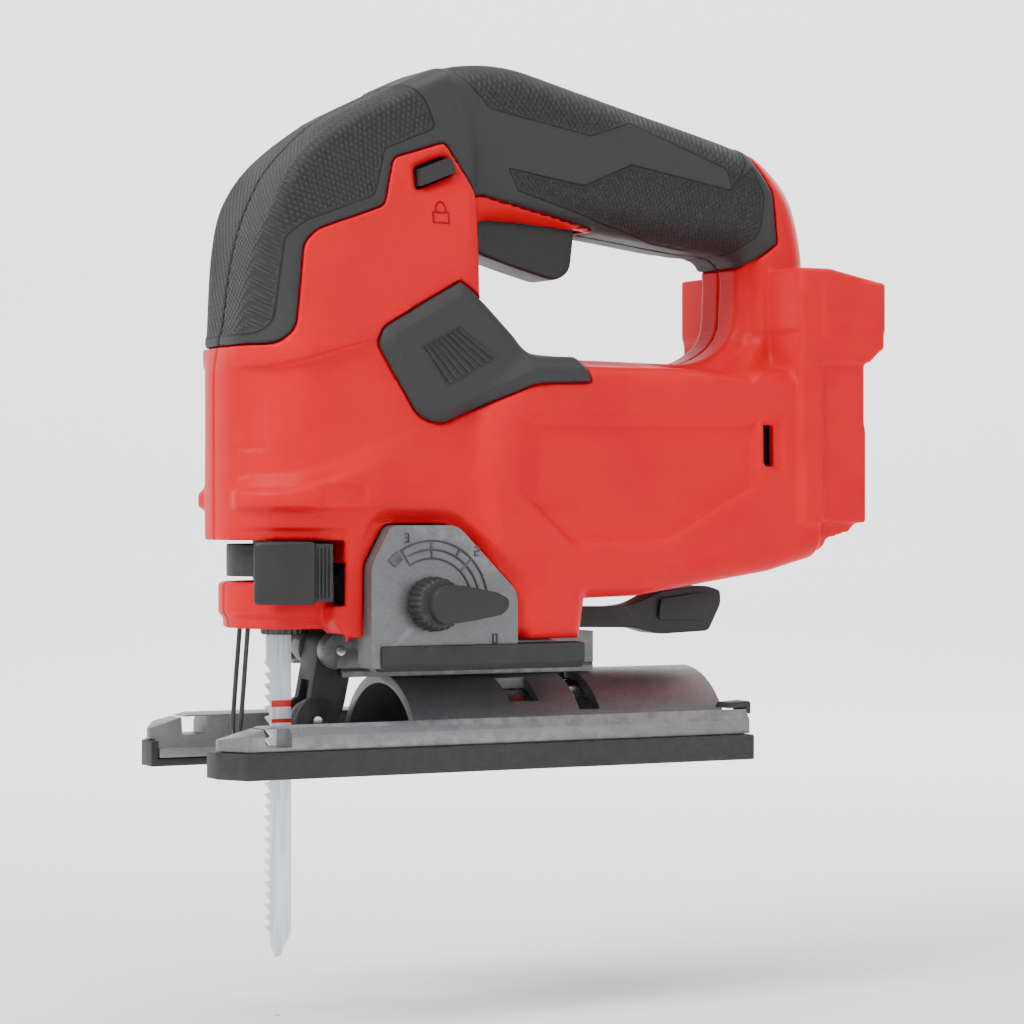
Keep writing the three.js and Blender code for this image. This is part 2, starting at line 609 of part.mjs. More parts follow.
function pinion() {
  const teeth = gearOutline(PINION_TEETH, PI / 2);
  return cut(alongX(teeth, GEAR_FRONT - GEAR_FACE - 1, GEAR_FRONT + 0.5).translate([0, 0, MOTOR_Z]),
    rodX(SHAFT_R + GAP, -60, 0, 0, MOTOR_Z));
}

// ---------- shoe ----------
const SHOE_SIDE = SHOE_HALF - 1.5; // side of the metal shoe above the cover band
const GUIDE = { x: [11.6, 19.6], z: [8.8, 14] }; // edge guide slot through both toes

const TOE_CHAMFER = { long: 5.3, wide: 9 }; // the toes' cut corners, along X and along Y
const COVER_SIDE = 1.2; // how far the cover's wall reaches into the shoe's side
const COVER_TOE = 2.6; // and into the tips of the toes

// Plan of the shoe: a rectangle with chamfered toes.
function toePlan(half, front, rear) {
  return outline([
    [front - TOE_CHAMFER.long, -half], [front, TOE_CHAMFER.wide - half], [front, half - TOE_CHAMFER.wide],
    [front - TOE_CHAMFER.long, half], [rear, half], [rear, -half],
  ]);
}

function bladeSlot() {
  return alongZ(outline([
    [-24, -15.5, 4], [-2, -TOE_INNER], [SHOE_FRONT + 9, -TOE_INNER], [SHOE_FRONT + 9, TOE_INNER],
    [-2, TOE_INNER], [-24, 15.5, 4],
  ]), -5, 40);
}

// One of the shoe's two long rails; room is how far its faces move outwards.
function shoeRail(side, room = 0) {
  const section = grown([
    [SHOE_HALF, COVER_SOLE + GAP], [SHOE_HALF, COVER_H + GAP + 2], [SHOE_SIDE - 2.2, RAIL_TOP],
    [TOE_INNER + 5, RAIL_TOP - 0.6], [TOE_INNER + 3.4, COVER_SOLE + GAP],
  ], room).map(([y, z]) => [side * y, z]);
  return alongX(outline(side > 0 ? section : section.reverse()), SHOE_REAR, SHOE_FRONT);
}

// The room that a rail sweeps through while the shoe tilts.
function railSweep() {
  const turned = [28, 34, 40, 45].map((angle) => shoeRail(1, RUN).rotate([angle, 0, 0]));
  return join(...turned, ...turned.map((rail) => rail.mirror([0, 1, 0])));
}

function shoe() {
  const low = COVER_SOLE + GAP;
  const step = COVER_H + GAP;
  const plan = join(
    alongZ(toePlan(SHOE_SIDE - COVER_SIDE, SHOE_FRONT - COVER_TOE, SHOE_REAR + 2), 0, step),
    alongZ(toePlan(SHOE_SIDE, SHOE_FRONT - 1, SHOE_REAR + 0.8), step, 40));
  const floor = block(SHOE_REAR, SHOE_FRONT, -SHOE_HALF, SHOE_HALF, low, 5.2);
  const rails = [shoeRail(1), shoeRail(-1)];
  const tube = cut(rodX(TUBE_R, TUBE_REAR, TUBE_FRONT, 0, 0, 64),
    rodX(TUBE_R - TUBE_WALL, TUBE_REAR - 1, TUBE_FRONT + 1, 0, 0, 64),
    block(TUBE_REAR - 1, TUBE_FRONT + 1, -40, 40, -40, low + 0.5));
  const toeSlope = alongY(outline([
    [SHOE_FRONT - 16, RAIL_TOP + 0.2], [SHOE_FRONT + 4, RAIL_TOP - 5.5],
    [SHOE_FRONT + 4, 30], [SHOE_FRONT - 16, 30],
  ]), -60, 60);
  return cut(join(join(floor, ...rails).intersect(plan), tube), toeSlope, bladeSlot(),
    block(GUIDE.x[0], GUIDE.x[1], -60, 60, ...GUIDE.z),
    tubeSlot(LEVER_BOLT_X, LEVER_BOLT_R + RUN, 47), tubeWindow());
}

// A slot around the tube that lets the bolt pass while the shoe tilts.
function tubeSlot(x, half, degrees) {
  const reach = TUBE_R + 5;
  const wedge = new THREE.Shape();
  const side = (degrees * PI) / 180 + half / TUBE_R;
  wedge.moveTo(0, 0);
  wedge.lineTo(reach * Math.sin(side), reach * Math.cos(side));
  wedge.absarc(0, 0, reach, PI / 2 - side, PI / 2 + side, false);
  wedge.closePath();
  return cut(alongX(wedge, x - half, x + half), rodX(TUBE_R - TUBE_WALL - 1, x - 20, x + 20, 0, 0, 48));
}

function tubeWindow() {
  return block(-76, -66, 10, 40, 18.5, 25);
}

function shoeCover() {
  const outer = alongZ(toePlan(SHOE_HALF, SHOE_FRONT, SHOE_REAR), 0, COVER_H);
  const hollow = alongZ(
    toePlan(SHOE_SIDE - COVER_SIDE + GAP, SHOE_FRONT - COVER_TOE + GAP, SHOE_REAR + 2 - GAP),
    COVER_SOLE, COVER_H + 5);
  return cut(outer, hollow, bladeSlot());
}

function coverClip(side) {
  const profile = outline([
    [SHOE_REAR - 1.5, RAIL_TOP - 1.5], [SHOE_REAR + 0.5, RAIL_TOP - 1.5], [SHOE_REAR + 0.5, RAIL_TOP + GAP],
    [SHOE_REAR + 7, RAIL_TOP + GAP], [SHOE_REAR + 6, RAIL_TOP + 2, 0.5],
    [SHOE_REAR - 1.5, RAIL_TOP + 2.4, 1],
  ]);
  const middle = side * (SHOE_SIDE - 6.5);
  return alongY(profile, middle - 3.5, middle + 3.5);
}

function degreePlate() {
  const outer = TUBE_R - TUBE_WALL - GAP;
  return cut(rodX(outer, -80, -62, 0, 0, 48), rodX(outer - 1.2, -81, -61, 0, 0, 48))
    .intersect(block(-90, -50, 6, 40, 14, 40));
}

function bevelClampPlate() {
  const inner = TUBE_R - TUBE_WALL - RUN;
  const ring = cut(rodX(inner, LEVER_BOLT_X - 9, LEVER_BOLT_X + 9, 0, 0, 48),
    rodX(inner - 3, LEVER_BOLT_X - 12, LEVER_BOLT_X + 12, 0, 0, 48));
  return cut(ring.intersect(block(-200, 0, -9, 9, 5, 40)), rodZ(LEVER_BOLT_R + GAP, 10, 40, LEVER_BOLT_X, 0));
}

function bevelBolt() {
  const head = TUBE_R - TUBE_WALL - RUN - 3 - GAP;
  return join(rodZ(LEVER_BOLT_R, head - 3.5, CASE_TOP + 9, LEVER_BOLT_X, 0, 16),
    rodZ(5.4, head - 4, head - 0.9, LEVER_BOLT_X, 0, 6));
}

function bevelLever() {
  const low = CASE_TOP + 1.8;
  const hub = rodZ(7.2, low, low + 7.6, LEVER_BOLT_X, 0);
  const arm = alongY(outline([
    [LEVER_BOLT_X, low + 0.6], [LEVER_BOLT_X, low + 7], [-117, 46.4], [-127, 50.5, 2], [-143, 52, 1],
    [-148, 48, 1], [-145, 38.6, 2], [-120, 38],
  ]), -5.5, 5.5);
  const plan = alongZ(outline([
    [LEVER_BOLT_X, -4.5], [-116, -4], [-124, -5.5, 3], [-147, -3.5, 2], [-149, 0, 2], [-147, 3.5, 2],
    [-124, 5.5, 3], [-116, 4], [LEVER_BOLT_X, 4.5],
  ]), 30, 60);
  return cut(join(hub, arm.intersect(plan)), rodZ(LEVER_BOLT_R + GAP, 30, 60, LEVER_BOLT_X, 0));
}

// ---------- blade guidance ----------
const ROLLER_X = -BLADE_HALF - ROLLER_R - GAP;
const ROLLER_Z = 13.6;

function roller() {
  const half = 2.6;
  const groove = new THREE.LatheGeometry([
    new THREE.Vector2(1.5 + 0.05, -half), new THREE.Vector2(ROLLER_R, -half),
    new THREE.Vector2(ROLLER_R, -0.9),
    new THREE.Vector2(ROLLER_R - 0.7, -0.9), new THREE.Vector2(ROLLER_R - 0.7, 0.9),
    new THREE.Vector2(ROLLER_R, 0.9), new THREE.Vector2(ROLLER_R, half), new THREE.Vector2(1.5 + 0.05, half),
    new THREE.Vector2(1.5 + 0.05, -half),
  ], 28);
  return solidOf(groove).translate([ROLLER_X, 0, ROLLER_Z]);
}

function rollerArm() {
  const cheek = outline([
    [ROLLER_X + 3, ROLLER_Z - 3, 2], [ROLLER_X + 3, ROLLER_Z + 4, 2],
    [ARM_PIVOT[0] + 5, ARM_PIVOT[1] - 3, 3],
    [ARM_PIVOT[0] + 4, ARM_PIVOT[1] + 4, 3], [ARM_PIVOT[0] - 4, ARM_PIVOT[1] + 9, 2],
    [ARM_PIVOT[0] - 8, ARM_PIVOT[1] + 8, 2], [ARM_PIVOT[0] - 6, ARM_PIVOT[1] - 5, 3],
    [ROLLER_X - 8, ROLLER_Z + 3, 3], [ROLLER_X - 4, ROLLER_Z - 4, 2],
  ]);
  const body = alongY(cheek, -5.8, 5.8);
  const wheelRoom = join(rodY(ROLLER_R + 1, -2.9, 2.9, ROLLER_X, ROLLER_Z),
    block(ROLLER_X, ROLLER_X + 20, -2.9, 2.9, ROLLER_Z - 20, ROLLER_Z + 12));
  return cut(body, wheelRoom,
    rodY(1.5 + GAP, -9, 9, ...ARM_PIVOT), rodY(1.5 + GAP, -9, 9, ROLLER_X, ROLLER_Z));
}

function pin(half, x, z) {
  return rodY(1.5, -half, half, x, z, 16);
}

function wireGuard() {
  const top = 47;
  const low = 9;
  const lean = (z) => 10.8 + ((40 - z) * 2.4) / 30;
  const route = new THREE.CatmullRomCurve3([
    new THREE.Vector3(lean(top), -3, top), new THREE.Vector3(lean(28), -3, 28),
    new THREE.Vector3(lean(13), -3, 13), new THREE.Vector3(lean(low), -1.6, low + 0.4),
    new THREE.Vector3(lean(low), 1.6, low + 0.4), new THREE.Vector3(lean(13), 3, 13),
    new THREE.Vector3(lean(28), 3, 28), new THREE.Vector3(lean(top), 3, top),
  ]);
  return solidOf(new THREE.ExtrudeGeometry(disc(0, 0, 0.85), {
    steps: 26, curveSegments: 4, bevelEnabled: false, extrudePath: route,
  }));
}

// ---------- levers, knobs and switches ----------
function orbitKnob() {
  const y = PLATE_OUT + RUN;
  const pointer = outline([
    [0, 7.2, 2], [-7, 5.6, 2], [-19, 4.2, 2], [-20, -1, 2], [-17, -4, 2], [-7, -6.2, 2], [0, -7.2, 2],
    [6, -4, 3], [6, 4, 3],
  ]);
  const skirt = rodY(8.2, y, y + 3, 0, 0, 32);
  return join(skirt, alongY(pointer, y + 1, y + 9, { bevelEnabled: false }));
}

function orbitShaft() {
  const shaft = rodY(KNOB_SHAFT_R, 8, PLATE_OUT + 0.2, 0, 0, 20);
  const cam = rodY(4.2, 8, 13, 1, 0, 20);
  return join(shaft, cam);
}

function releaseHub() {
  return cut(rodZ(16.8, 56, 65.4, PLUNGER_X, 0, 40), rodZ(9.8, 50, 70, PLUNGER_X, 0, 40));
}

function releaseLever() {
  const sector = new THREE.Shape();
  const [from, to] = [(52 * PI) / 180, (91 * PI) / 180];
  sector.absarc(0, 0, 33, from, to, false);
  sector.absarc(0, 0, 22, to, from, true);
  sector.closePath();
  const grip = alongZ(sector, 49, 66);
  const neck = new THREE.Shape();
  neck.absarc(0, 0, 23, from + 0.12, to - 0.12, false);
  neck.absarc(0, 0, 15.5, to - 0.12, from + 0.12, true);
  neck.closePath();
  const whole = join(grip.translate([PLUNGER_X, 0, 0]), alongZ(neck, 57, 64.6).translate([PLUNGER_X, 0, 0]));
  return join(whole, releaseHub());
}

function trigger() {
  const shape = outline([
    [-62.5, TOP - 43], [-62.5, TOP - 50, 4], [-66, TOP - 58.5, 4], [-88, TOP - 62.5, 3],
    [-93.5, TOP - 58, 3],
    [-95, TOP - 50, 2], [-95, TOP - 43],
  ]);
  return pillow(shape, 7.5, 2.5).intersect(block(-200, 0, -20, 20, 0, TOP - 44));
}

function lockButton() {
  return lockButtonSlot(0);
}

function switchModule() {
  return cut(block(-112, -64, -9, 9, TOP - 36.5, TOP - 18), block(-120, -100, -12, 12, TOP - 24, TOP));
}

function controlBoard() {
  return join(block(-140, -74, -19, 19, BOARD_LOW, BOARD_LOW + 1.6),
    block(-130, -112, -8, 8, BOARD_LOW - 1.7, BOARD_LOW + 0.1),
    block(-100, -84, -14, -4, BOARD_LOW - 1.7, BOARD_LOW + 0.1));
}

function terminalBlock() {
  const body = block(REAR + 12, REAR + 22, -19, 19, 84, 112);
  const blades = [-12, -4, 4, 12].map((y) => block(REAR + 8.5, REAR + 13, y - 0.5, y + 0.5, 88, 108));
  const flange = block(REAR + 20.4, REAR + 22, -21.5, 21.5, 81, 115);
  return join(body, flange, ...blades);
}

function workLight() {
  return rodZ(WORK_LIGHT.r, 40.4, 46 - GAP, WORK_LIGHT.x, WORK_LIGHT.y, 12);
}

function screw(x, z) {
  const recess = alongY(new THREE.Shape(hexagon(1.3)), -13, -11).translate([x, 0, z]);
  return cut(join(rodY(SCREW_R, -11.5, 13, x, z, 8), rodY(3, -12.4, -10, x, z, 12)), recess);
}

function hexagon(r) {
  const turn = PI / 3;
  return [0, 1, 2, 3, 4, 5].map((i) => new THREE.Vector2(r * Math.cos(i * turn), r * Math.sin(i * turn)));
}

// ---------- assembly ----------
const jigsaw = new THREE.Group();

function put(group, name, solid, material) {
  group.add(meshOf(solid, name, material));
}

const solids = {
  outer: outerForm(0), skinFloor: outerForm(SKIN), skinBase: outerForm(SKIN + GAP), cavity: outerForm(WALL),
};
const body = new THREE.Group();
const halves = housingHalves(solids);
for (const [name, solid] of Object.entries(halves)) put(body, name, solid, redPlastic());
for (const [name, solid] of Object.entries(skins(solids))) put(body, name, solid, rubber());
put(body, "gear_housing", gearHousing(), castMetal());
put(body, "wire_guard", wireGuard(), darkSteel());
put(body, "switch_module", switchModule(), blackPlastic());
put(body, "control_board", controlBoard(), boardGreen());
put(body, "terminal_block", terminalBlock(), blackPlastic());
put(body, "stator", stator(), copper());
put(body, "work_light", workLight(), clearPlastic());
SCREWS.forEach(([x, z], i) => put(body, "housing_screw_" + (i + 1), screw(x, z), darkSteel()));
put(body, "upper_bushing",
  cut(rodZ(BUSH_R, ...UPPER_GUIDE, PLUNGER_X, 0), rodZ(PLUNGER_R + 0.06, 130, 160, PLUNGER_X, 0)), copper());
put(body, "lower_bushing",
  cut(rodZ(BUSH_R, ...LOWER_GUIDE, PLUNGER_X, 0), rodZ(PLUNGER_R + 0.06, 50, 90, PLUNGER_X, 0)), copper());
put(body, "gear_bearing", bearing(AXLE_BEARING_R, AXLE_R, SPINE[0] + 1.3, SPINE[1] - 0.3, CRANK_Z), steel());
put(body, "pinion_bearing", bearing(NOSE_BEARING_R, SHAFT_R, SPINE[0] + 1.3, SPINE[1] - 0.3, MOTOR_Z), steel());
put(body, "front_motor_bearing", bearing(8, SHAFT_R, MOTOR_FRONT + 3, MOTOR_FRONT + 8, MOTOR_Z), steel());
put(body, "rear_motor_bearing", bearing(8, SHAFT_R, MOTOR_REAR - 6, MOTOR_REAR - 1, MOTOR_Z), steel());
put(body, "arm_pivot_pin", pin(11.6, ...ARM_PIVOT), steel());
jigsaw.add(body);

const reciprocating = new THREE.Group();
put(reciprocating, "plunger", plunger(), steel());
put(reciprocating, "blade_clamp", bladeClamp(), darkSteel());
put(reciprocating, "blade", blade(), bladeSteel());
jigsaw.add(reciprocating);

const crank = new THREE.Group();
put(crank, "crank_gear", crankGear(), steel());
put(crank, "crank_pin", crankPin(), steel());
put(crank, "gear_axle", gearAxle(), steel());
jigsaw.add(crank);

const armature = new THREE.Group();
put(armature, "rotor", rotor(), darkSteel());
put(armature, "rotor_shaft", motorShaft(), steel());
put(armature, "pinion", pinion(), steel());
put(armature, "cooling_fan", fan(), blackPlastic());
jigsaw.add(armature);

const shoeAssembly = new THREE.Group();
put(shoeAssembly, "shoe", shoe(), castMetal());
put(shoeAssembly, "shoe_cover", shoeCover(), blackPlastic());
put(shoeAssembly, "cover_clip_left", coverClip(1), blackPlastic());
put(shoeAssembly, "cover_clip_right", coverClip(-1), blackPlastic());
put(shoeAssembly, "degree_plate", degreePlate(), steel());
jigsaw.add(shoeAssembly);

const bevelClamp = new THREE.Group();
put(bevelClamp, "bevel_lever", bevelLever(), blackPlastic());
put(bevelClamp, "bevel_bolt", bevelBolt(), darkSteel());
put(bevelClamp, "bevel_clamp_plate", bevelClampPlate(), steel());
jigsaw.add(bevelClamp);

const guidance = new THREE.Group();
put(guidance, "roller_arm", rollerArm(), darkSteel());
put(guidance, "roller_pin", pin(5.8, ROLLER_X, ROLLER_Z), steel());
put(guidance, "guide_roller", roller(), steel());
jigsaw.add(guidance);

const selector = new THREE.Group();
put(selector, "orbit_knob", orbitKnob(), blackPlastic());
put(selector, "orbit_shaft", orbitShaft(), steel());
selector.position.set(KNOB[0], 0, KNOB[1]);
jigsaw.add(selector);

put(jigsaw, "release_lever", releaseLever(), blackPlastic());
put(jigsaw, "trigger", trigger(), blackPlastic());
put(jigsaw, "lock_button", lockButton(), blackPlastic());

export default jigsaw;
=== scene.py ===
"""Looks of a cordless D-handle jigsaw: plastic shells, rubber grips, cast shoe, dial, levers and studio."""

import math

import bmesh
import bpy
import numpy as np
import openvdb
from mathutils import Matrix, Vector


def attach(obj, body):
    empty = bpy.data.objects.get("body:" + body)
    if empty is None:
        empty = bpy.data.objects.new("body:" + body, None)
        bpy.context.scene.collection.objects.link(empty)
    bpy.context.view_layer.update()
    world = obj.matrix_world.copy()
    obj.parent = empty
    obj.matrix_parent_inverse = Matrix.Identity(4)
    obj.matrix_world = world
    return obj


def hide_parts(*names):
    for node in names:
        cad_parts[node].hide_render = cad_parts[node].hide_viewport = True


bl_info = {
    "name": "Cordless jigsaw looks",
    "version": (1, 0, 0),
    "blender": (4, 5, 0),
    "location": "View3D > Sidebar > Jigsaw",
    "description": "Builds the visible surfaces, materials and studio of a cordless jigsaw",
    "category": "Object",
}

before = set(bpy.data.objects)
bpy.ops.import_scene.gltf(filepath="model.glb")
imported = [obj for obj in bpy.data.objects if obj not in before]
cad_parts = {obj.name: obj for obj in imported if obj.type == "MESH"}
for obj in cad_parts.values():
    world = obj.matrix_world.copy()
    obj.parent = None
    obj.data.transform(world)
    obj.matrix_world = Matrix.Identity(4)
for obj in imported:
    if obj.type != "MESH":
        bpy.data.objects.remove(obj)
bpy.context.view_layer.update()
MM = 0.001

# ---------- outlines of the housing, in millimetres, X and Z ----------
# a third number is the corner's radius
BAR_X, BOLT_X = -2.0, -92.0  # the plunger's and blade's line, and the bevel lever's bolt
NOSE_FLOOR, SKIRT = 66.5, 37.5  # undersides of the nose and of the skirts beside the gear case
NOSE_HALF, NOSE_CENTRE = 29.5, -8.9  # the nose's rounded front: its radius, and the X of its middle
SKIN, WALL, GAP = 1.6, 4.0, 0.3  # depth of the rubber, thickness of the shells, gap between fitted pieces
NOSE_SIDE = [
    (20.6, 15), (20.6, 114), (17.8, 128, 12), (15.6, 146, 14), (12.2, 159, 14), (5.2, 174, 14),
    (-8.6, 186.6, 12), (-30, 197, 12), (-47, 204), (-54, 184), (-54, 138), (-70, 116), (-82, 90), (-82, 15)]
NOSE_FRONT = [
    (-30.5, 0), (30.5, 0), (30.5, 118, 20), (26.5, 152, 20), (20.5, 184, 15), (16.5, 214),
    (-16.5, 214), (-20.5, 184, 15), (-26.5, 152, 20), (-30.5, 118, 20)]
HANDLE_SIDE = [
    (0, 95), (4, 168, 12), (-8, 187, 20), (-30, 198, 20), (-48, 207, 14), (-68, 208.7, 18),
    (-108, 198.5, 20), (-144, 189.6, 20), (-157, 185.6, 12), (-169, 174.6, 12), (-174, 158, 16), (-175, 95)]
HAND_OPENING = [
    (-57, 162, 8), (-57, 140, 10), (-74, 121, 10), (-137, 120, 10), (-150, 128, 8), (-151, 153.6, 7),
    (-132, 155, 10), (-95, 160, 20)]
BODY_SIDE = [
    (-50, 104), (-66, 118.5), (-156, 118.5), (-185, 130), (-185, 70), (-181, 64.5), (-151, 56.5),
    (-104, 49.5), (-86, 49), (-84, 36), (-50, 36)]
HOOD_SIDE = [
    (-158, 70), (-158, 149.5), (-170, 149.5), (-190, 145.5), (-190, 125), (-184.5, 120), (-184.5, 70)]
PLATE_SIDE = [
    (-14.6, 30), (-14.6, 59.3, 2), (-20.9, 70.8, 2), (-42, 70.8, 3), (-61.7, 51.3, 3), (-61.7, 30)]
RUBBER_SIDE = [
    (60, 238), (-150, 218), (-154, 183), (-159.5, 174), (-161, 158), (-151, 150.5), (-144, 148.5),
    (-136, 144), (-103, 147), (-99.6, 160.2, 1), (-57.5, 168.2, 1), (-54, 167.2, 1), (-44.2, 182.8, 2),
    (-27, 177.3, 2), (-23, 163, 2), (-1, 155.2, 4), (3, 151.2, 3), (5.4, 126.5, 3),
    (10, 122.4, 2), (60, 121.6)]
THUMB_SIDE = [
    (-64, 130), (-86.4, 125), (-86.4, 112.9), (-68, 112.2, 3), (-38.9, 99.8, 3), (-31.8, 102, 3),
    (-19.0, 122.8, 3), (-20.6, 127.7, 3), (-46, 142)]
THUMB_RIBS = [(-31.3, 122.7), (-44, 128.8), (-58, 119.5), (-40.1, 110.3)]
SUNK_SIDE = [
    (-61.2, 102.5, 2), (-144.8, 103, 1), (-144.8, 81.5, 1), (-113, 64.5, 3), (-80.3, 63.3, 3),
    (-61.6, 80.5, 3)]
VENT_SIDE = [(-145.2, 103), (-153.3, 103), (-153.3, 86), (-145.2, 89)]
BADGE_SIDE = [(-0.5, 82.6, 0.4), (-15, 82.6, 0.4), (-15, 76, 0.4), (-0.5, 76, 0.4)]
PILLAR_SIDE = [(-120, 152), (-156, 154), (-156, 127.4), (-143, 113.5), (-112, 119), (-104, 134)]
HOOD_PANEL = [(-165.6, 145, 1.5), (-190, 146), (-190, 124), (-166, 127, 1.5)]
FRONT_LABEL = [(11, 107.5, 1.5), (60, 107.5), (60, 91.6), (11, 91.6, 1.5)]
FRONT_PANEL = [
    (60, 230), (-24, 230), (-31, 201, 2), (-38, 196, 6), (-41.2, 186.6, 2), (-24.4, 179.6, 1),
    (-20.2, 165.8, 2), (2.6, 157.2, 2), (8.2, 152.5, 2), (10.9, 128.5, 3), (14.5, 125.2, 2), (60, 125)]
TOP_PANEL = [
    (-40, 230), (-45.5, 206), (-52.1, 202.2), (-60.2, 193.8), (-94.2, 187.6), (-108.4, 192.1),
    (-142.2, 180.2), (-144.5, 174.6), (-150, 182), (-152, 230)]
LOW_PANEL = [
    (-66.5, 176.4), (-92.0, 172.4), (-108.6, 179.6), (-143.6, 173.6), (-152.0, 181.0), (-156.0, 172),
    (-154.4, 160.4, 3), (-145.0, 153.6, 3), (-120, 157), (-98.6, 162.0), (-93.1, 163.8), (-69.7, 170.0)]
LOCK_SIDE = [(-34.2, 174.4), (-44.6, 178.4, 1), (-46.4, 173.6), (-34.2, 168.5)]
SCREWS = [(8, 158), (-52, 193), (-118, 175), (-159, 170), (-156, 127), (-157, 67), (-90, 57.5), (-62, 106)]
SCREW_BOSS, SCREW_HOLE = 4.2, 3.3  # radii of the bosses, and of the holes in the right shell
RIB_ROWS = 8  # ribs on each thumb pad


def rounded(points, steps=4):
    """A closed outline; a third number is the corner's radius."""
    found = []
    count = len(points)
    for i, point in enumerate(points):
        at = np.array(point[:2], float)
        radius = point[2] if len(point) > 2 else 0
        if not radius:
            found.append(at)
            continue
        before = np.array(points[i - 1][:2], float) - at
        after = np.array(points[(i + 1) % count][:2], float) - at
        reach = min(radius, np.linalg.norm(before) * 0.45, np.linalg.norm(after) * 0.45)
        start = at + before / np.linalg.norm(before) * reach
        end = at + after / np.linalg.norm(after) * reach
        for t in np.linspace(0, 1, steps + 1):
            found.append((1 - t) ** 2 * start + 2 * t * (1 - t) * at + t * t * end)
    return np.array(found)


def outline_distance(points, a, b):
    """Signed distance to a closed outline, negative inside."""
    corners = rounded(points)
    nearest = np.full(a.shape, 1e9)
    inside = np.zeros(a.shape, bool)
    for p, q in zip(corners, np.roll(corners, -1, 0)):
        edge = q - p
        if edge @ edge < 1e-9:
            continue
        da, db = a - p[0], b - p[1]
        t = np.clip((da * edge[0] + db * edge[1]) / (edge @ edge), 0, 1)
        nearest = np.minimum(nearest, (da - edge[0] * t) ** 2 + (db - edge[1] * t) ** 2)
        if edge[1]:
            inside ^= ((p[1] <= b) != (q[1] <= b)) & (a < p[0] + db * edge[0] / edge[1])
    return np.where(inside, -1, 1) * np.sqrt(nearest)


def smooth_min(a, b, k):
    h = np.clip(0.5 + 0.5 * (b - a) / k, 0, 1)
    return b + (a - b) * h - k * h * (1 - h)


def smooth_max(a, b, k):
    return -smooth_min(-a, -b, k)


def ramp(value, low, high):
    t = np.clip((value - low) / (high - low), 0, 1)
    return t * t * (3 - 2 * t)


def swollen(side, across, half, radius):
    """A side outline swollen to a half width with rounded edges."""
    a, b = side + radius, np.abs(across) - half + radius
    return np.hypot(np.maximum(a, 0), np.maximum(b, 0)) + np.minimum(np.maximum(a, b), 0) - radius


class Field:
    """A block of points, in millimetres, on which signed distances are worked out."""

    def __init__(self, low, high, step):
        self.low, self.step = np.array(low, float), step
        xs, ys, zs = (np.arange(low[k], high[k] + step, step) for k in range(3))
        self.x, self.y, self.z = xs[:, None, None], ys[None, :, None], zs[None, None, :]
        self.xs, self.ys, self.zs = xs, ys, zs

    def side(self, points):
        a, b = np.meshgrid(self.xs, self.zs, indexing="ij")
        return outline_distance(points, a, b)[:, None, :].astype(np.float32)

    def plan(self, points):
        a, b = np.meshgrid(self.xs, self.ys, indexing="ij")
        return outline_distance(points, a, b)[:, :, None].astype(np.float32)

    def front(self, points):
        a, b = np.meshgrid(self.ys, self.zs, indexing="ij")
        return outline_distance(points, a, b)[None, :, :].astype(np.float32)

    def box(self, x0, x1, y0, y1, z0, z1):
        return np.maximum(np.maximum(np.abs(self.x - (x0 + x1) / 2) - (x1 - x0) / 2,
                                     np.abs(self.y - (y0 + y1) / 2) - (y1 - y0) / 2),
                          np.abs(self.z - (z0 + z1) / 2) - (z1 - z0) / 2)

    def upright(self, x, y, radius, z0, z1):
        return np.maximum(np.hypot(self.x - x, self.y - y) - radius,
                          np.abs(self.z - (z0 + z1) / 2) - (z1 - z0) / 2)

    def across(self, x, z, radius, y0, y1):
        return np.maximum(np.hypot(self.x - x, self.z - z) - radius,
                          np.abs(self.y - (y0 + y1) / 2) - (y1 - y0) / 2)

    def surface(self, values, mirrored=False):
        """Points, in metres, and faces of the zero surface."""
        reach = 3 * self.step
        grid = openvdb.FloatGrid(reach)
        grid.copyFromArray(np.clip(values, -reach, reach).astype(np.float32))
        points, triangles, quads = grid.convertToPolygons(0.0, 0.0)
        points = points * self.step + self.low
        if mirrored:
            points[:, 1] *= -1
        p = points[quads]
        volume = np.einsum("ij,ij->i", p[:, 0], np.cross(p[:, 1], p[:, 2])).sum()
        volume += np.einsum("ij,ij->i", p[:, 0], np.cross(p[:, 2], p[:, 3])).sum()
        faces = quads if volume > 0 else quads[:, ::-1]
        return points * MM, [tuple(f) for f in faces.tolist()] + [tuple(f) for f in triangles.tolist()]


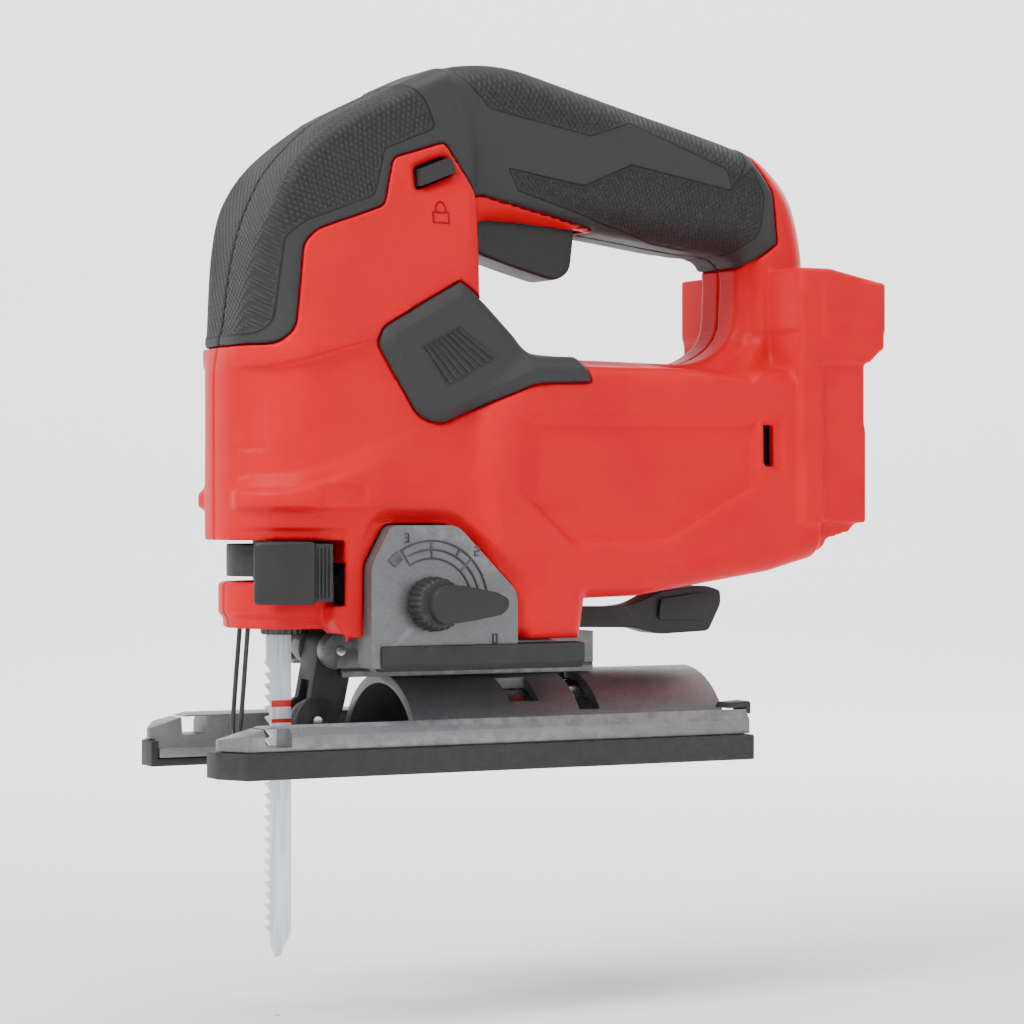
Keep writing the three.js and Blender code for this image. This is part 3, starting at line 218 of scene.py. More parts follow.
def belts(f):
    """How far the housing's side is let in, for its belts, panels and chamfers."""
    x, z = np.meshgrid(f.xs, f.zs, indexing="ij")

    def line(points):
        points = sorted(points)
        return np.interp(x, [p[0] for p in points], [p[1] for p in points])

    def inside(points):
        return -outline_distance(points, x, z)

    # the nose: a sunk belt between two edges, a bulge over it and a step under it, fading to the rear
    upper = line([(12.2, 116.6), (7.1, 117.7), (-3.9, 120.8), (-19.4, 125.5), (-30, 131)])
    lower = line([(12.2, 85.9), (6.3, 86.4), (-3.9, 89.5), (-28.2, 99.2), (-37.4, 101.0), (-60, 103)])
    edge = line([(8, 81.9), (-3.9, 84.7), (-31.7, 95.5), (-60, 99)])
    fade = 1 - 0.75 * ramp(-x, 5, 34)
    let_in = 1.8 * fade * ramp(upper - z, 0, 1.6) * ramp(z - edge, 0, np.maximum(lower - edge, 1.5))
    let_in = let_in - 0.6 * fade * ramp(z - upper, -1.0, 0.6) * ramp(124 - z, 0, 2)
    let_in = let_in - 2.0 * ramp(x, -30, 2) * ramp(edge - z, -0.5, 2.5) * ramp(z, 74.6, 76.4)
    front = ramp(x, -14, -11)
    let_in = let_in + 0.5 * ramp(75.2 - z, 0, 1.4) * front + 0.9 * ramp(70.2 - z, 0, 1.0) * front
    let_in = let_in + 0.7 * ramp(inside(FRONT_LABEL), 0, 0.8)
    # the body: the large sunk panel, the vent, the small badge's field and the gear case's surround
    let_in = let_in + 2.2 * np.minimum(np.clip(inside(SUNK_SIDE) / 2.6, 0, 1), np.clip((-61.2 - x) / 8, 0, 1))
    let_in = let_in + 1.3 * ramp(inside(VENT_SIDE), 0, 1.8)
    let_in = let_in + 0.6 * ramp(inside(BADGE_SIDE), 0, 0.6)
    let_in = let_in + 2.2 * np.clip((4.6 + inside(PLATE_SIDE)) / 3.0, 0, 1)
    # the rear: the step before the dock, the pillar under the handle's end and the hood's raised side
    let_in = let_in + 1.3 * ramp(-166 - x, 0, 1.5) * ramp(121 - z, 0, 1.0)
    let_in = let_in + 2.4 * np.clip(inside(PILLAR_SIDE) / 3.0, 0, 1)
    let_in = let_in - 0.5 * ramp(inside(HOOD_PANEL), 0, 1.2)
    # the handle: the hollow round the lock button
    let_in = let_in + 1.0 * ramp(2.2 + inside(LOCK_SIDE), 0, 1.8)
    return let_in[:, None, :].astype(np.float32)


def grip_relief(x, z):
    """How far the rubber's textured panels are let in, and the distance to their edges, negative inside."""
    edge = np.minimum(np.minimum(outline_distance(FRONT_PANEL, x, z), outline_distance(TOP_PANEL, x, z)),
                      outline_distance(LOW_PANEL, x, z))
    return 0.35 * ramp(-edge, 0, 0.9), edge


def housing_forms(f):
    """The outer form without its fine relief, and with it."""
    nose = swollen(f.side(NOSE_SIDE), f.y, NOSE_HALF + 1, 9)
    round_front = np.where(f.x > NOSE_CENTRE, np.hypot(f.x - NOSE_CENTRE, f.y), np.abs(f.y)) - NOSE_HALF
    nose = smooth_max(smooth_max(nose, round_front, 2), f.front(NOSE_FRONT), 4)
    loop = np.maximum(f.side(HANDLE_SIDE), -f.side(HAND_OPENING))
    handle = swollen(loop, f.y, 18.5, 10)  # half widths and edge radii
    body = swollen(f.side(BODY_SIDE), f.y, 34, 7)
    hood = swollen(f.side(HOOD_SIDE), f.y, 36, 2.5)
    rest = smooth_min(smooth_min(handle, body, 7), nose, 4)
    rest = np.maximum(rest, -f.side(HAND_OPENING))
    plain = smooth_min(rest, hood, 1.2)
    return plain, plain + belts(f) * ramp(np.abs(f.y), 9, 15)


def nose_ring(f):
    """The ring round the blade clamp under the nose, with its lip and its left tab."""
    band = smooth_max(np.hypot(f.x + 4, f.y) - 21, np.abs(f.z - 49.5) - 5, 1.6)
    lip = smooth_max(np.hypot(f.x + 4, f.y) - 19.6, np.abs(f.z - 43.5) - 2.5, 1.2)
    tab = f.side([
        (-24, 41), (-24, 72), (-9.5, 72), (-9.5, 60), (-5, 54.5), (-5, 44), (-9, 38.5, 3), (-14, 38.5)])
    tab = smooth_max(np.maximum(tab, 14 - f.y), f.y - 28.5, 1.5)
    bore = np.minimum(f.upright(BAR_X, 0, 15.5, 30, 60), f.box(-30, BAR_X, -15.5, 15.5, 30, 60))
    return np.maximum(smooth_min(smooth_min(band, lip, 0.6), tab, 1.0), -bore)


def gear_room(f):
    """Room in the shells for the gear case, its spine and arms, and the plunger's top."""
    return np.minimum.reduce(np.broadcast_arrays(
        f.box(-84.3, 60, -60, 60, 0, SKIRT), np.maximum(f.side(PLATE_SIDE) - 0.4, 20 - f.y),
        f.box(-84, -9, -27, 27, 0, 60), f.box(-102, -70, -17, 17, 0, SKIRT + 10),
        f.box(-48.5, -40.5, -14.5, 14.5, 30, 152.5), f.box(-48.5, 8, -10.5, 10.5, 134.5, 144.5),
        f.upright(BAR_X, 0, 5.6, 140, 170.2)))


def shell_fields(f):
    """Signed distances of the left and right red shells and of the rubber skins on one side."""
    plain, outer = housing_forms(f)
    relief, _ = grip_relief(*np.meshgrid(f.xs, f.zs, indexing="ij"))
    rubber = f.side(RUBBER_SIDE)
    thumb = f.side(THUMB_SIDE)
    thumb_low = np.maximum(thumb, 13 - f.y)
    pad = plain - 2.1 * np.clip((-thumb - 0.6) / 3.2, 0, 1) * ramp(f.y, 14, 22)
    pad = pad + 0.6 * ramp(-f.side(THUMB_RIBS), 0, 0.9) * ramp(f.y, 18, 22)
    middle = GAP / 2 - f.y
    skin = plain + relief[:, None, :].astype(np.float32)
    trigger = f.box(-97.5, -58.0, -8.5, 8.5, 138, 168)
    button = f.side(LOCK_SIDE) - 0.5
    grip = smooth_max(smooth_max(smooth_max(skin, rubber, 1.2), -(plain + SKIN), 0.3), middle, 0.8)
    grip = np.maximum(np.maximum(grip, -trigger - 1), -button - 0.2)
    pad = smooth_max(smooth_max(smooth_max(pad, thumb, 1.4), -(plain + SKIN), 0.3), 13 - f.y, 0.8)

    cavity = np.maximum(plain + WALL, -167 - f.x)
    pocket = np.minimum(rubber, thumb_low) - GAP
    shell = smooth_max(outer, middle, 0.7)
    shell = np.maximum(shell, -np.maximum(pocket, -(plain + SKIN + GAP)))
    shell = np.maximum(shell, -f.box(-9, 60, -90, 90, -10, NOSE_FLOOR))
    shell = np.maximum(shell, -cavity)
    shell = np.minimum(shell, np.maximum(nose_ring(f), middle))
    for x, z in SCREWS:
        boss = np.maximum(f.across(x, z, SCREW_BOSS, 0.2, 26), plain + SKIN + GAP)
        shell = np.minimum(shell, np.maximum(boss, middle))
    dock = np.minimum(f.box(-195, -170, -31.5, 31.5, 40, 126), f.box(-187, -170, -31.5, 31.5, 120, 142))
    vent = np.maximum(f.side([(-150.4, 88.5), (-150.4, 101), (-146.6, 101), (-146.6, 88.5)]), 25 - f.y)
    contacts = f.box(-172, -164, -22, 22, 80, 116)
    clamp = f.upright(BAR_X, 0, 17.4, 55, NOSE_FLOOR)
    for room in (gear_room(f), dock, trigger, vent, contacts, button, clamp):
        shell = np.maximum(shell, -room)
    shell = np.minimum(shell, smooth_max(f.box(-183.5, -180, 28, 32.5, 74, 118), outer, 0.5))  # dock rails
    # the release lever swings through the left half only
    sweep = np.maximum(f.upright(BAR_X, 0, 34.5, 47.8, NOSE_FLOOR), -8.6 - f.x)
    sweep = np.maximum(sweep, -f.upright(BAR_X, 0, 21.4, 40, 55))
    left, right = np.maximum(shell, -sweep), shell
    for x, z in SCREWS:
        right = np.maximum(right, -f.across(x, z, SCREW_HOLE, 9.7, 60))
    return {"left": left, "right": right, "grip": grip, "thumb": pad, "outer": outer}


# ---------- pieces ----------
def add_piece(name, mesh, body, material, nodes=()):
    """Makes a smooth piece of a mesh, which rides on a body and stands for CAD nodes."""
    piece = bpy.data.objects.new(name, mesh)
    bpy.context.scene.collection.objects.link(piece)
    mesh.materials.clear()
    mesh.materials.append(material)
    mesh.polygons.foreach_set("use_smooth", [True] * len(mesh.polygons))
    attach(piece, body)
    if nodes:
        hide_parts(*nodes)
    return piece


def put_mesh(name, points, faces, body, material, nodes=()):
    """A piece of points, in metres, and faces."""
    mesh = bpy.data.meshes.new(name)
    mesh.from_pydata([tuple(p) for p in np.asarray(points).tolist()], [], faces)
    mesh.update()
    return add_piece(name, mesh, body, material, nodes)


def solid_from(bm, name, body, material, nodes=(), bevel=0.0, segments=2, angle=30):
    """Bevels the sharp edges of a closed form, and makes it a piece. Lengths are in millimetres."""
    bmesh.ops.recalc_face_normals(bm, faces=bm.faces)
    if bevel:
        sharp = [e for e in bm.edges if len(e.link_faces) == 2
                 and e.calc_face_angle(0) > math.radians(angle)]
        bmesh.ops.bevel(bm, geom=sharp, offset=bevel, segments=segments, profile=0.6, affect="EDGES",
                        clamp_overlap=True)
    bmesh.ops.scale(bm, vec=(MM, MM, MM), verts=bm.verts)
    mesh = bpy.data.meshes.new(name)
    bm.to_mesh(mesh)
    bm.free()
    piece = add_piece(name, mesh, body, material, nodes)
    mesh.set_sharp_from_angle(angle=math.radians(38))
    return piece


AXES = {"y": lambda a, b, c: (a, c, b), "x": lambda a, b, c: (c, a, b), "z": lambda a, b, c: (a, b, c)}


def add_prism(bm, points, axis, low, high, taper=1.0):
    """A prism of an outline along an axis; taper shrinks its far end about the outline's middle."""
    corners = rounded(points) if any(len(p) > 2 for p in points) else np.array(points, float)
    centre = corners.mean(0)
    near = [bm.verts.new(AXES[axis](a, b, low)) for a, b in corners]
    far = [bm.verts.new(AXES[axis](*(centre + (p - centre) * taper), high)) for p in corners]
    count = len(corners)
    bm.faces.new(near)
    bm.faces.new(list(reversed(far)))
    for i in range(count):
        j = (i + 1) % count
        bm.faces.new((near[j], near[i], far[i], far[j]))
    return near + far


def add_lathe(bm, profile, axis, at, sides=48, ripple=None):
    """A turned form round an axis, of (radius, place along the axis); ripple changes a radius by angle."""
    rings = []
    for radius, along in profile:
        ring = []
        for i in range(sides):
            angle = 2 * math.pi * i / sides
            r = radius * (ripple(angle, radius) if ripple else 1)
            u, v = r * math.cos(angle), r * math.sin(angle)
            place = {"y": (at[0] + u, along, at[1] + v), "z": (at[0] + u, at[1] + v, along),
                     "x": (along, at[0] + u, at[1] + v)}[axis]
            ring.append(bm.verts.new(place))
        rings.append(ring)
    for a, b in zip(rings, rings[1:]):
        for i in range(sides):
            j = (i + 1) % sides
            bm.faces.new((a[i], a[j], b[j], b[i]))
    if profile[0][0] > 0 and profile[0] != profile[-1]:
        bm.faces.new(list(reversed(rings[0])))
        bm.faces.new(rings[-1])
    return rings


def tube(name, lines, radius, body, material, nodes=()):
    """Round wires, each through its own points, in millimetres."""
    curve = bpy.data.curves.new(name, "CURVE")
    curve.dimensions = "3D"
    curve.bevel_depth = radius * MM
    curve.bevel_resolution = 4
    curve.use_fill_caps = True
    for points in lines:
        spline = curve.splines.new("BEZIER")
        spline.bezier_points.add(len(points) - 1)
        for knot, p in zip(spline.bezier_points, points):
            knot.co = [c * MM for c in p]
            knot.handle_left_type = knot.handle_right_type = "AUTO"
    made = bpy.data.objects.new(name, curve)
    bpy.context.scene.collection.objects.link(made)
    evaluated = made.evaluated_get(bpy.context.evaluated_depsgraph_get())
    mesh = bpy.data.meshes.new_from_object(evaluated)
    bpy.data.objects.remove(made)
    return add_piece(name, mesh, body, material, nodes)


def softened(node, body, material, bevel=0.3, angle=32, segments=2):
    """The node's own form with its edges rounded."""
    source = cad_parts[node]
    bm = bmesh.new()
    bm.from_mesh(source.data)
    bmesh.ops.remove_doubles(bm, verts=bm.verts, dist=2e-5)
    bmesh.ops.dissolve_limit(bm, angle_limit=math.radians(2), verts=bm.verts, edges=bm.edges)
    sharp = [e for e in bm.edges if len(e.link_faces) == 2
             and math.radians(angle) < e.calc_face_angle(0) < math.radians(172)]
    bmesh.ops.bevel(bm, geom=sharp, offset=bevel * MM, segments=segments, profile=0.6, affect="EDGES",
                    clamp_overlap=True)
    mesh = bpy.data.meshes.new(node + "_form")
    bm.to_mesh(mesh)
    bm.free()
    piece = add_piece(node + "_form", mesh, body, material, [node])
    mesh.set_sharp_from_angle(angle=math.radians(35))
    return piece


# ---------- materials ----------
class Nodes:
    """Short calls that add nodes to a tree and link them."""

    def __init__(self, tree):
        self.tree = tree

    def add(self, kind, settings=None, **inputs):
        node = self.tree.nodes.new(kind)
        for name, value in (settings or {}).items():
            setattr(node, name, value)
        for name, value in inputs.items():
            self.put(node, name.replace("_", " "), value)
        return node

    def put(self, node, name, value):
        socket = node.inputs[int(name)] if str(name).isdigit() else node.inputs[name]
        if isinstance(value, bpy.types.NodeSocket):
            self.tree.links.new(value, socket)
        else:
            socket.default_value = value

    def maths(self, operation, a, b=0.0, clamp=False):
        node = self.add("ShaderNodeMath", {"operation": operation, "use_clamp": clamp})
        self.put(node, 0, a)
        self.put(node, 1, b)
        return node.outputs[0]

    def mix(self, factor, a, b):
        node = self.add("ShaderNodeMix", {"data_type": "RGBA"})
        self.put(node, 0, factor)
        self.put(node, 6, a)
        self.put(node, 7, b)
        return node.outputs[2]

    def span(self, value, low, high, to_low=0.0, to_high=1.0):
        node = self.add("ShaderNodeMapRange", {"interpolation_type": "SMOOTHSTEP"})
        for i, v in enumerate((value, low, high, to_low, to_high)):
            self.put(node, i, v)
        return node.outputs[0]


def new_group(name, inputs, outputs):
    """A shader node group with named sockets; returns its nodes, its inputs and its output node."""
    tree = bpy.data.node_groups.new(name, "ShaderNodeTree")
    for label, kind, default in inputs:
        socket = tree.interface.new_socket(label, in_out="INPUT", socket_type=kind)
        if default is not None:
            socket.default_value = default
    for label, kind in outputs:
        tree.interface.new_socket(label, in_out="OUTPUT", socket_type=kind)
    return Nodes(tree), tree.nodes.new("NodeGroupInput"), tree.nodes.new("NodeGroupOutput")


def grain_group():
    """Moulded grain: fine bumps and faint colour drift."""
    found = bpy.data.node_groups.get("Moulded grain")
    if found:
        return found
    n, given, made = new_group("Moulded grain", [
        ("Color", "NodeSocketColor", (0.5, 0.5, 0.5, 1)), ("Grain Size", "NodeSocketFloat", 1400.0),
        ("Grain Height", "NodeSocketFloat", 0.12), ("Roughness", "NodeSocketFloat", 0.45),
        ("Normal", "NodeSocketVector", None)],
        [("Color", "NodeSocketColor"), ("Roughness", "NodeSocketFloat"), ("Normal", "NodeSocketVector")])
    place = n.add("ShaderNodeTexCoord").outputs["Object"]
    fine = n.add("ShaderNodeTexVoronoi", {"feature": "F1"}, Vector=place, Scale=given.outputs["Grain Size"])
    broad = n.add("ShaderNodeTexNoise", Vector=place, Scale=38.0, Detail=4.0, Roughness=0.6)
    drift = n.span(broad.outputs[0], 0.3, 0.7, 0.93, 1.05)
    shade = n.add("ShaderNodeHueSaturation", Value=drift, Color=given.outputs["Color"])
    n.put(made, 0, shade.outputs[0])
    uneven = n.span(broad.outputs[0], 0.3, 0.75, -0.05, 0.07)
    n.put(made, 1, n.maths("ADD", given.outputs["Roughness"], uneven, True))
    bump = n.add("ShaderNodeBump", Strength=given.outputs["Grain Height"], Distance=0.0002,
                 Height=fine.outputs["Distance"], Normal=given.outputs["Normal"])
    n.put(made, 2, bump.outputs[0])
    return n.tree


def wear_group():
    """A mask of the proud edges, broken up by noise, where the materials paint edge wear and a painted
    highlight.
    """
    found = bpy.data.node_groups.get("Edge wear")
    if found:
        return found
    n, given, made = new_group("Edge wear", [("Amount", "NodeSocketFloat", 0.5)],
                               [("Mask", "NodeSocketFloat")])
    edge = n.span(n.add("ShaderNodeNewGeometry").outputs["Pointiness"], 0.52, 0.62)
    place = n.add("ShaderNodeTexCoord").outputs["Object"]
    noise = n.add("ShaderNodeTexNoise", Vector=place, Scale=260.0, Detail=5.0)
    broken = n.maths("MULTIPLY", edge, n.span(noise.outputs[0], 0.35, 0.65), True)
    n.put(made, 0, n.maths("MULTIPLY", broken, given.outputs["Amount"], True))
    return n.tree


def weave_group():
    """The rubber's textured panels: small scales inside them, a groove at their edges, and a mask of the
    scales' valleys for painted shade.
    """
    found = bpy.data.node_groups.get("Rubber weave")
    if found:
        return found
    n, given, made = new_group(
        "Rubber weave", [("Panel", "NodeSocketFloat", 1.0), ("Along", "NodeSocketFloat", 0.0),
                         ("Across", "NodeSocketFloat", 0.0)],
        [("Height", "NodeSocketFloat"), ("Groove", "NodeSocketFloat"), ("Mask", "NodeSocketFloat")])
    inside = n.span(given.outputs["Panel"], -0.9, -0.3, 1.0, 0.0)
    along = n.maths("MULTIPLY", given.outputs["Along"], 4.4)
    across = n.maths("MULTIPLY", given.outputs["Across"], 2.6)
    first = n.maths("SINE", n.maths("ADD", along, across))
    second = n.maths("SINE", n.maths("SUBTRACT", along, across))
    scales = n.maths("MULTIPLY", n.maths("ADD", first, 1.0), n.maths("ADD", second, 1.0))
    groove = n.span(n.maths("ABSOLUTE", given.outputs["Panel"]), 0.12, 0.34, 1.0, 0.0)
    height = n.maths("SUBTRACT", n.maths("MULTIPLY", scales, n.maths("MULTIPLY", inside, 0.25)), groove)
    n.put(made, 0, height)
    n.put(made, 1, groove)
    # the valleys between the scales, which the rubber paints darker: painted shade
    n.put(made, 2, n.maths("MULTIPLY", inside, n.span(scales, 0.0, 2.2, 1.0, 0.0)))
    return n.tree


def use_group(n, tree, **inputs):
    node = n.add("ShaderNodeGroup", {"node_tree": tree})
    for name, value in inputs.items():
        n.put(node, name.replace("_", " "), value)
    return node


def linear(colour):
    return tuple(c / 12.92 if c <= 0.04045 else ((c + 0.055) / 1.055) ** 2.4 for c in colour[:3]) + (1.0,)


def start_material(name):
    material = bpy.data.materials.new(name)
    material.use_nodes = True
    material.node_tree.nodes.clear()
    n = Nodes(material.node_tree)
    shader = n.add("ShaderNodeBsdfPrincipled")
    out = n.add("ShaderNodeOutputMaterial")
    n.tree.links.new(shader.outputs[0], out.inputs[0])
    return material, n, shader


def plastic(name, colour, roughness, grain=1400.0, height=0.12, wear_and_highlight=0.4, specular=0.5, lift=1.5):
    """Moulded or cast stuff with grain, faint drift, and proud edges painted lighter as a painted highlight.
    """
    found = bpy.data.materials.get(name)
    if found:
        return found
    material, n, shader = start_material(name)
    base = use_group(n, grain_group(), Color=colour, Grain_Size=grain, Grain_Height=height,
                     Roughness=roughness)
    wear_and_highlight_mask = use_group(n, wear_group(), Amount=wear_and_highlight)
    # painted highlight: proud edges are painted lighter, by lift, where the edge mask is high
    light = tuple(min(1.0, c * lift + 0.02) for c in colour[:3]) + (1.0,)
    n.put(shader, "Base Color", n.mix(wear_and_highlight_mask.outputs[0], base.outputs[0], light))
    n.put(shader, "Roughness", base.outputs[1])
    n.put(shader, "Normal", base.outputs[2])
    shader.inputs["Specular IOR Level"].default_value = specular
    return material


def rubber_material():
    found = bpy.data.materials.get("Grip rubber")
    if found:
        return found
    looks = bpy.context.scene.jigsaw_looks
    colour = linear(looks.rubber_colour)
    material, n, shader = start_material("Grip rubber")
    panel = n.add("ShaderNodeAttribute", {"attribute_name": "panel"}).outputs["Fac"]
    along = n.add("ShaderNodeAttribute", {"attribute_name": "along"}).outputs["Fac"]
    across = n.add("ShaderNodeAttribute", {"attribute_name": "across"}).outputs["Fac"]
    weave = use_group(n, weave_group(), Panel=panel, Along=along, Across=across)
    raised = n.add("ShaderNodeBump", Strength=0.9, Distance=0.0006, Height=weave.outputs[0])
    base = use_group(n, grain_group(), Color=colour, Grain_Size=1700.0, Grain_Height=0.15, Roughness=0.6,
                     Normal=raised.outputs[0])
    # painted shade: the scales' valleys and the edge groove are painted darker
    dark = tuple(c * 0.25 for c in colour[:3]) + (1.0,)
    shade = n.mix(n.maths("MULTIPLY", weave.outputs[2], 0.5), base.outputs[0], dark)
    n.put(shader, "Base Color", n.mix(n.maths("MULTIPLY", weave.outputs[1], 0.9), shade, dark))
    n.put(shader, "Roughness", base.outputs[1])
    n.put(shader, "Normal", base.outputs[2])
    shader.inputs["Specular IOR Level"].default_value = 0.28
    return material


def metal(name, colour, roughness, metallic=0.9, speckle=0.0, brushed=(1.0, 1.0, 1.0), wear_and_highlight=0.5):
    """Cast, turned or brushed metal."""
    found = bpy.data.materials.get(name)
    if found:
        return found
    material, n, shader = start_material(name)
    place = n.add("ShaderNodeTexCoord").outputs["Object"]
    stretched = n.add("ShaderNodeMapping", Vector=place, Scale=brushed).outputs[0]
    lines = n.add("ShaderNodeTexNoise", Vector=stretched, Scale=420.0, Detail=6.0, Roughness=0.7)
    spots = n.add("ShaderNodeTexNoise", Vector=place, Scale=2400.0, Detail=3.0)
    stain = n.add("ShaderNodeTexNoise", Vector=place, Scale=55.0, Detail=4.0)
    value = n.maths("ADD", n.span(lines.outputs[0], 0.3, 0.7, 0.92, 1.06),
                    n.span(spots.outputs[0], 0.35, 0.68, -speckle, speckle))
    value = n.maths("MULTIPLY", value, n.span(stain.outputs[0], 0.3, 0.7, 0.94, 1.04))
    shade = n.add("ShaderNodeHueSaturation", Value=value, Color=colour)
    # proud edges painted lighter: edge wear, and a painted highlight
    wear_and_highlight_mask = use_group(n, wear_group(), Amount=wear_and_highlight)
    light = tuple(min(1.0, c * 1.5 + 0.05) for c in colour[:3]) + (1.0,)
    n.put(shader, "Base Color", n.mix(wear_and_highlight_mask.outputs[0], shade.outputs[0], light))
    uneven = n.span(lines.outputs[0], 0.3, 0.7, -0.06, 0.08)
    n.put(shader, "Roughness", n.maths("ADD", uneven, roughness, True))
    bump = n.add("ShaderNodeBump", Strength=0.1 + speckle, Distance=0.0002,
                 Height=n.maths("ADD", spots.outputs[0], lines.outputs[0]))
    n.put(shader, "Normal", bump.outputs[0])
    shader.inputs["Metallic"].default_value = metallic
    return material


def red_material():
    return plastic("Red plastic", linear(bpy.context.scene.jigsaw_looks.housing_colour), 0.4, grain=1500.0,
                   height=0.08, wear_and_highlight=0.3, specular=0.1, lift=1.2)


def black_material():
    return plastic("Black plastic", linear((0.13, 0.13, 0.133)), 0.52, grain=1500.0, height=0.22, wear_and_highlight=0.4,
                   specular=0.35, lift=2.4)


def cast_material():
    return metal("Cast metal", linear((0.40, 0.403, 0.407)), 0.45, metallic=0.6, speckle=0.14)


def shoe_material():
    return metal("Cast shoe", linear((0.44, 0.443, 0.447)), 0.42, metallic=0.6, speckle=0.1)


def steel_material():
    return metal("Bright steel", linear((0.74, 0.75, 0.76)), 0.28, metallic=1.0, brushed=(1.0, 0.05, 1.0))


def dark_steel_material():
    return metal("Dark steel", linear((0.25, 0.25, 0.26)), 0.4, metallic=0.8, speckle=0.04)


def bronze_material():
    return metal("Bronze", linear((0.72, 0.5, 0.32)), 0.35, metallic=0.95, brushed=(0.05, 1.0, 1.0))


def board_material():
    found = bpy.data.materials.get("Circuit board")
    if found:
        return found
    material, n, shader = start_material("Circuit board")
    place = n.add("ShaderNodeTexCoord").outputs["Object"]
    tracks = n.add("ShaderNodeTexBrick", {"offset": 0.5}, Vector=place, Scale=260.0,
                   Color1=linear((0.10, 0.35, 0.20)), Color2=linear((0.12, 0.40, 0.23)),
                   Mortar=linear((0.5, 0.45, 0.2)))
    base = use_group(n, grain_group(), Color=tracks.outputs[0], Roughness=0.35)
    n.put(shader, "Base Color", base.outputs[0])
    n.put(shader, "Roughness", base.outputs[1])
    n.put(shader, "Normal", base.outputs[2])
    return material


def lens_material():
    found = bpy.data.materials.get("Clear lens")
    if found:
        return found
    material, n, shader = start_material("Clear lens")
    base = use_group(n, grain_group(), Color=(0.9, 0.92, 0.95, 1), Grain_Height=0.05, Roughness=0.12)
    n.put(shader, "Base Color", base.outputs[0])
    n.put(shader, "Roughness", base.outputs[1])
    n.put(shader, "Normal", base.outputs[2])
    shader.inputs["Transmission Weight"].default_value = 0.6
    return material


def blade_material():
    """Pale coated steel with two red marks."""
    found = bpy.data.materials.get("Blade steel")
    if found:
        return found
    material, n, shader = start_material("Blade steel")
    place = n.add("ShaderNodeTexCoord").outputs["Object"]
    parts = n.add("ShaderNodeSeparateXYZ", Vector=place)
    up, along = parts.outputs["Z"], parts.outputs["X"]
    stretched = n.add("ShaderNodeMapping", Vector=place, Scale=(1, 1, 0.06)).outputs[0]
    noise = n.add("ShaderNodeTexNoise", Vector=stretched, Scale=900.0, Detail=5.0)
    shade = n.mix(n.span(noise.outputs[0], 0.3, 0.7), linear((0.76, 0.79, 0.81)), linear((0.88, 0.91, 0.93)))
    marks = None
    for low, high in ((0.0178, 0.0198), (0.0132, 0.0144)):
        mark = n.maths("MULTIPLY", n.span(up, low - 0.0001, low + 0.0001),
                       n.span(up, high - 0.0001, high + 0.0001, 1.0, 0.0))
        marks = mark if marks is None else n.maths("ADD", marks, mark, True)
    marks = n.maths("MULTIPLY", marks, n.span(along, 0.0022, 0.0024, 1.0, 0.0))
    shade = n.mix(marks, shade, linear((0.80, 0.12, 0.14)))
    n.put(shader, "Base Color", shade)
    n.put(shader, "Roughness", n.span(noise.outputs[0], 0.3, 0.7, 0.28, 0.42))
    bump = n.add("ShaderNodeBump", Strength=0.1, Distance=0.0001, Height=noise.outputs[0])
    n.put(shader, "Normal", bump.outputs[0])
    shader.inputs["Metallic"].default_value = 0.35
    return material


# ---------- settings ----------
class JigsawLooks(bpy.types.PropertyGroup):
    """Sizes and colours that a user would change."""

    housing_colour: bpy.props.FloatVectorProperty(
        name="Housing colour", description="Colour of the plastic shells", subtype="COLOR_GAMMA", size=3,
        min=0, max=1, default=(0.80, 0.03, 0.10))
    rubber_colour: bpy.props.FloatVectorProperty(
        name="Rubber colour", description="Colour of the grips and thumb pads", subtype="COLOR_GAMMA", size=3,
        min=0, max=1, default=(0.18, 0.18, 0.183))
    shell_step: bpy.props.FloatProperty(
        name="Shell step", description="Distance between the points that shape the shells", unit="LENGTH",
        default=0.0007, min=0.0004, max=0.003)
    knob_radius: bpy.props.FloatProperty(
        name="Knob radius", description="Outside radius of the orbit knob's ribbed base", unit="LENGTH",
        default=0.0078, min=0.006, max=0.0082)
    tooth_pitch: bpy.props.FloatProperty(
        name="Tooth pitch", description="Distance between the blade's teeth", unit="LENGTH",
        default=0.0032, min=0.001, max=0.005)
    wire_radius: bpy.props.FloatProperty(
        name="Wire radius", description="Radius of the wire in front of the blade", unit="LENGTH",
        default=0.0007, min=0.0004, max=0.001)
    floor_depth: bpy.props.FloatProperty(
        name="Floor depth", description="How far the studio floor lies below the sole", unit="LENGTH",
        default=0.072, min=0.05, max=0.5)


class PieceOperator:
    """What every operator here shares."""

    bl_options = {"REGISTER", "UNDO"}


_fields = {}


def shells():
    """The shells' signed distances, worked out once."""
    if not _fields:
        step = bpy.context.scene.jigsaw_looks.shell_step / MM
        field = Field((-191.8, -1.4, 35.0), (21.5, 38.2, 210.5), step)
        _fields.update(shell_fields(field), field=field)
    return _fields


class JIGSAW_OT_housing(PieceOperator, bpy.types.Operator):
    """Red plastic shells with their belts, panels, vents, ring and battery dock"""

    bl_idname = "jigsaw.housing"
    bl_label = "Housing shells"

    def execute(self, context):
        found = shells()
        for side in ("left", "right"):
            points, faces = found["field"].surface(found[side], side == "right")
            put_mesh("housing_" + side + "_form", points, faces, "tool_body", red_material(),
                     ["housing_" + side])
        return {"FINISHED"}


def mark_panels(piece):
    """Stores the distance to the textured panels' edges, and the weave's two directions."""
    mesh = piece.data
    co = np.zeros(len(mesh.vertices) * 3, np.float32)
    mesh.vertices.foreach_get("co", co)
    co = co.reshape(-1, 3) / MM
    _, edge = grip_relief(co[:, 0], co[:, 2])
    centre = np.array([-90.0, 0.0, 60.0])
    angle = np.degrees(np.arctan2(co[:, 2] - centre[2], co[:, 0] - centre[0]))
    reach = np.hypot(co[:, 0] - centre[0], co[:, 2] - centre[2])
    for name, values in (("panel", edge), ("along", angle * 1.9), ("across", reach + np.abs(co[:, 1]))):
        layer = mesh.attributes.new(name, "FLOAT", "POINT")
        layer.data.foreach_set("value", values.astype(np.float32))


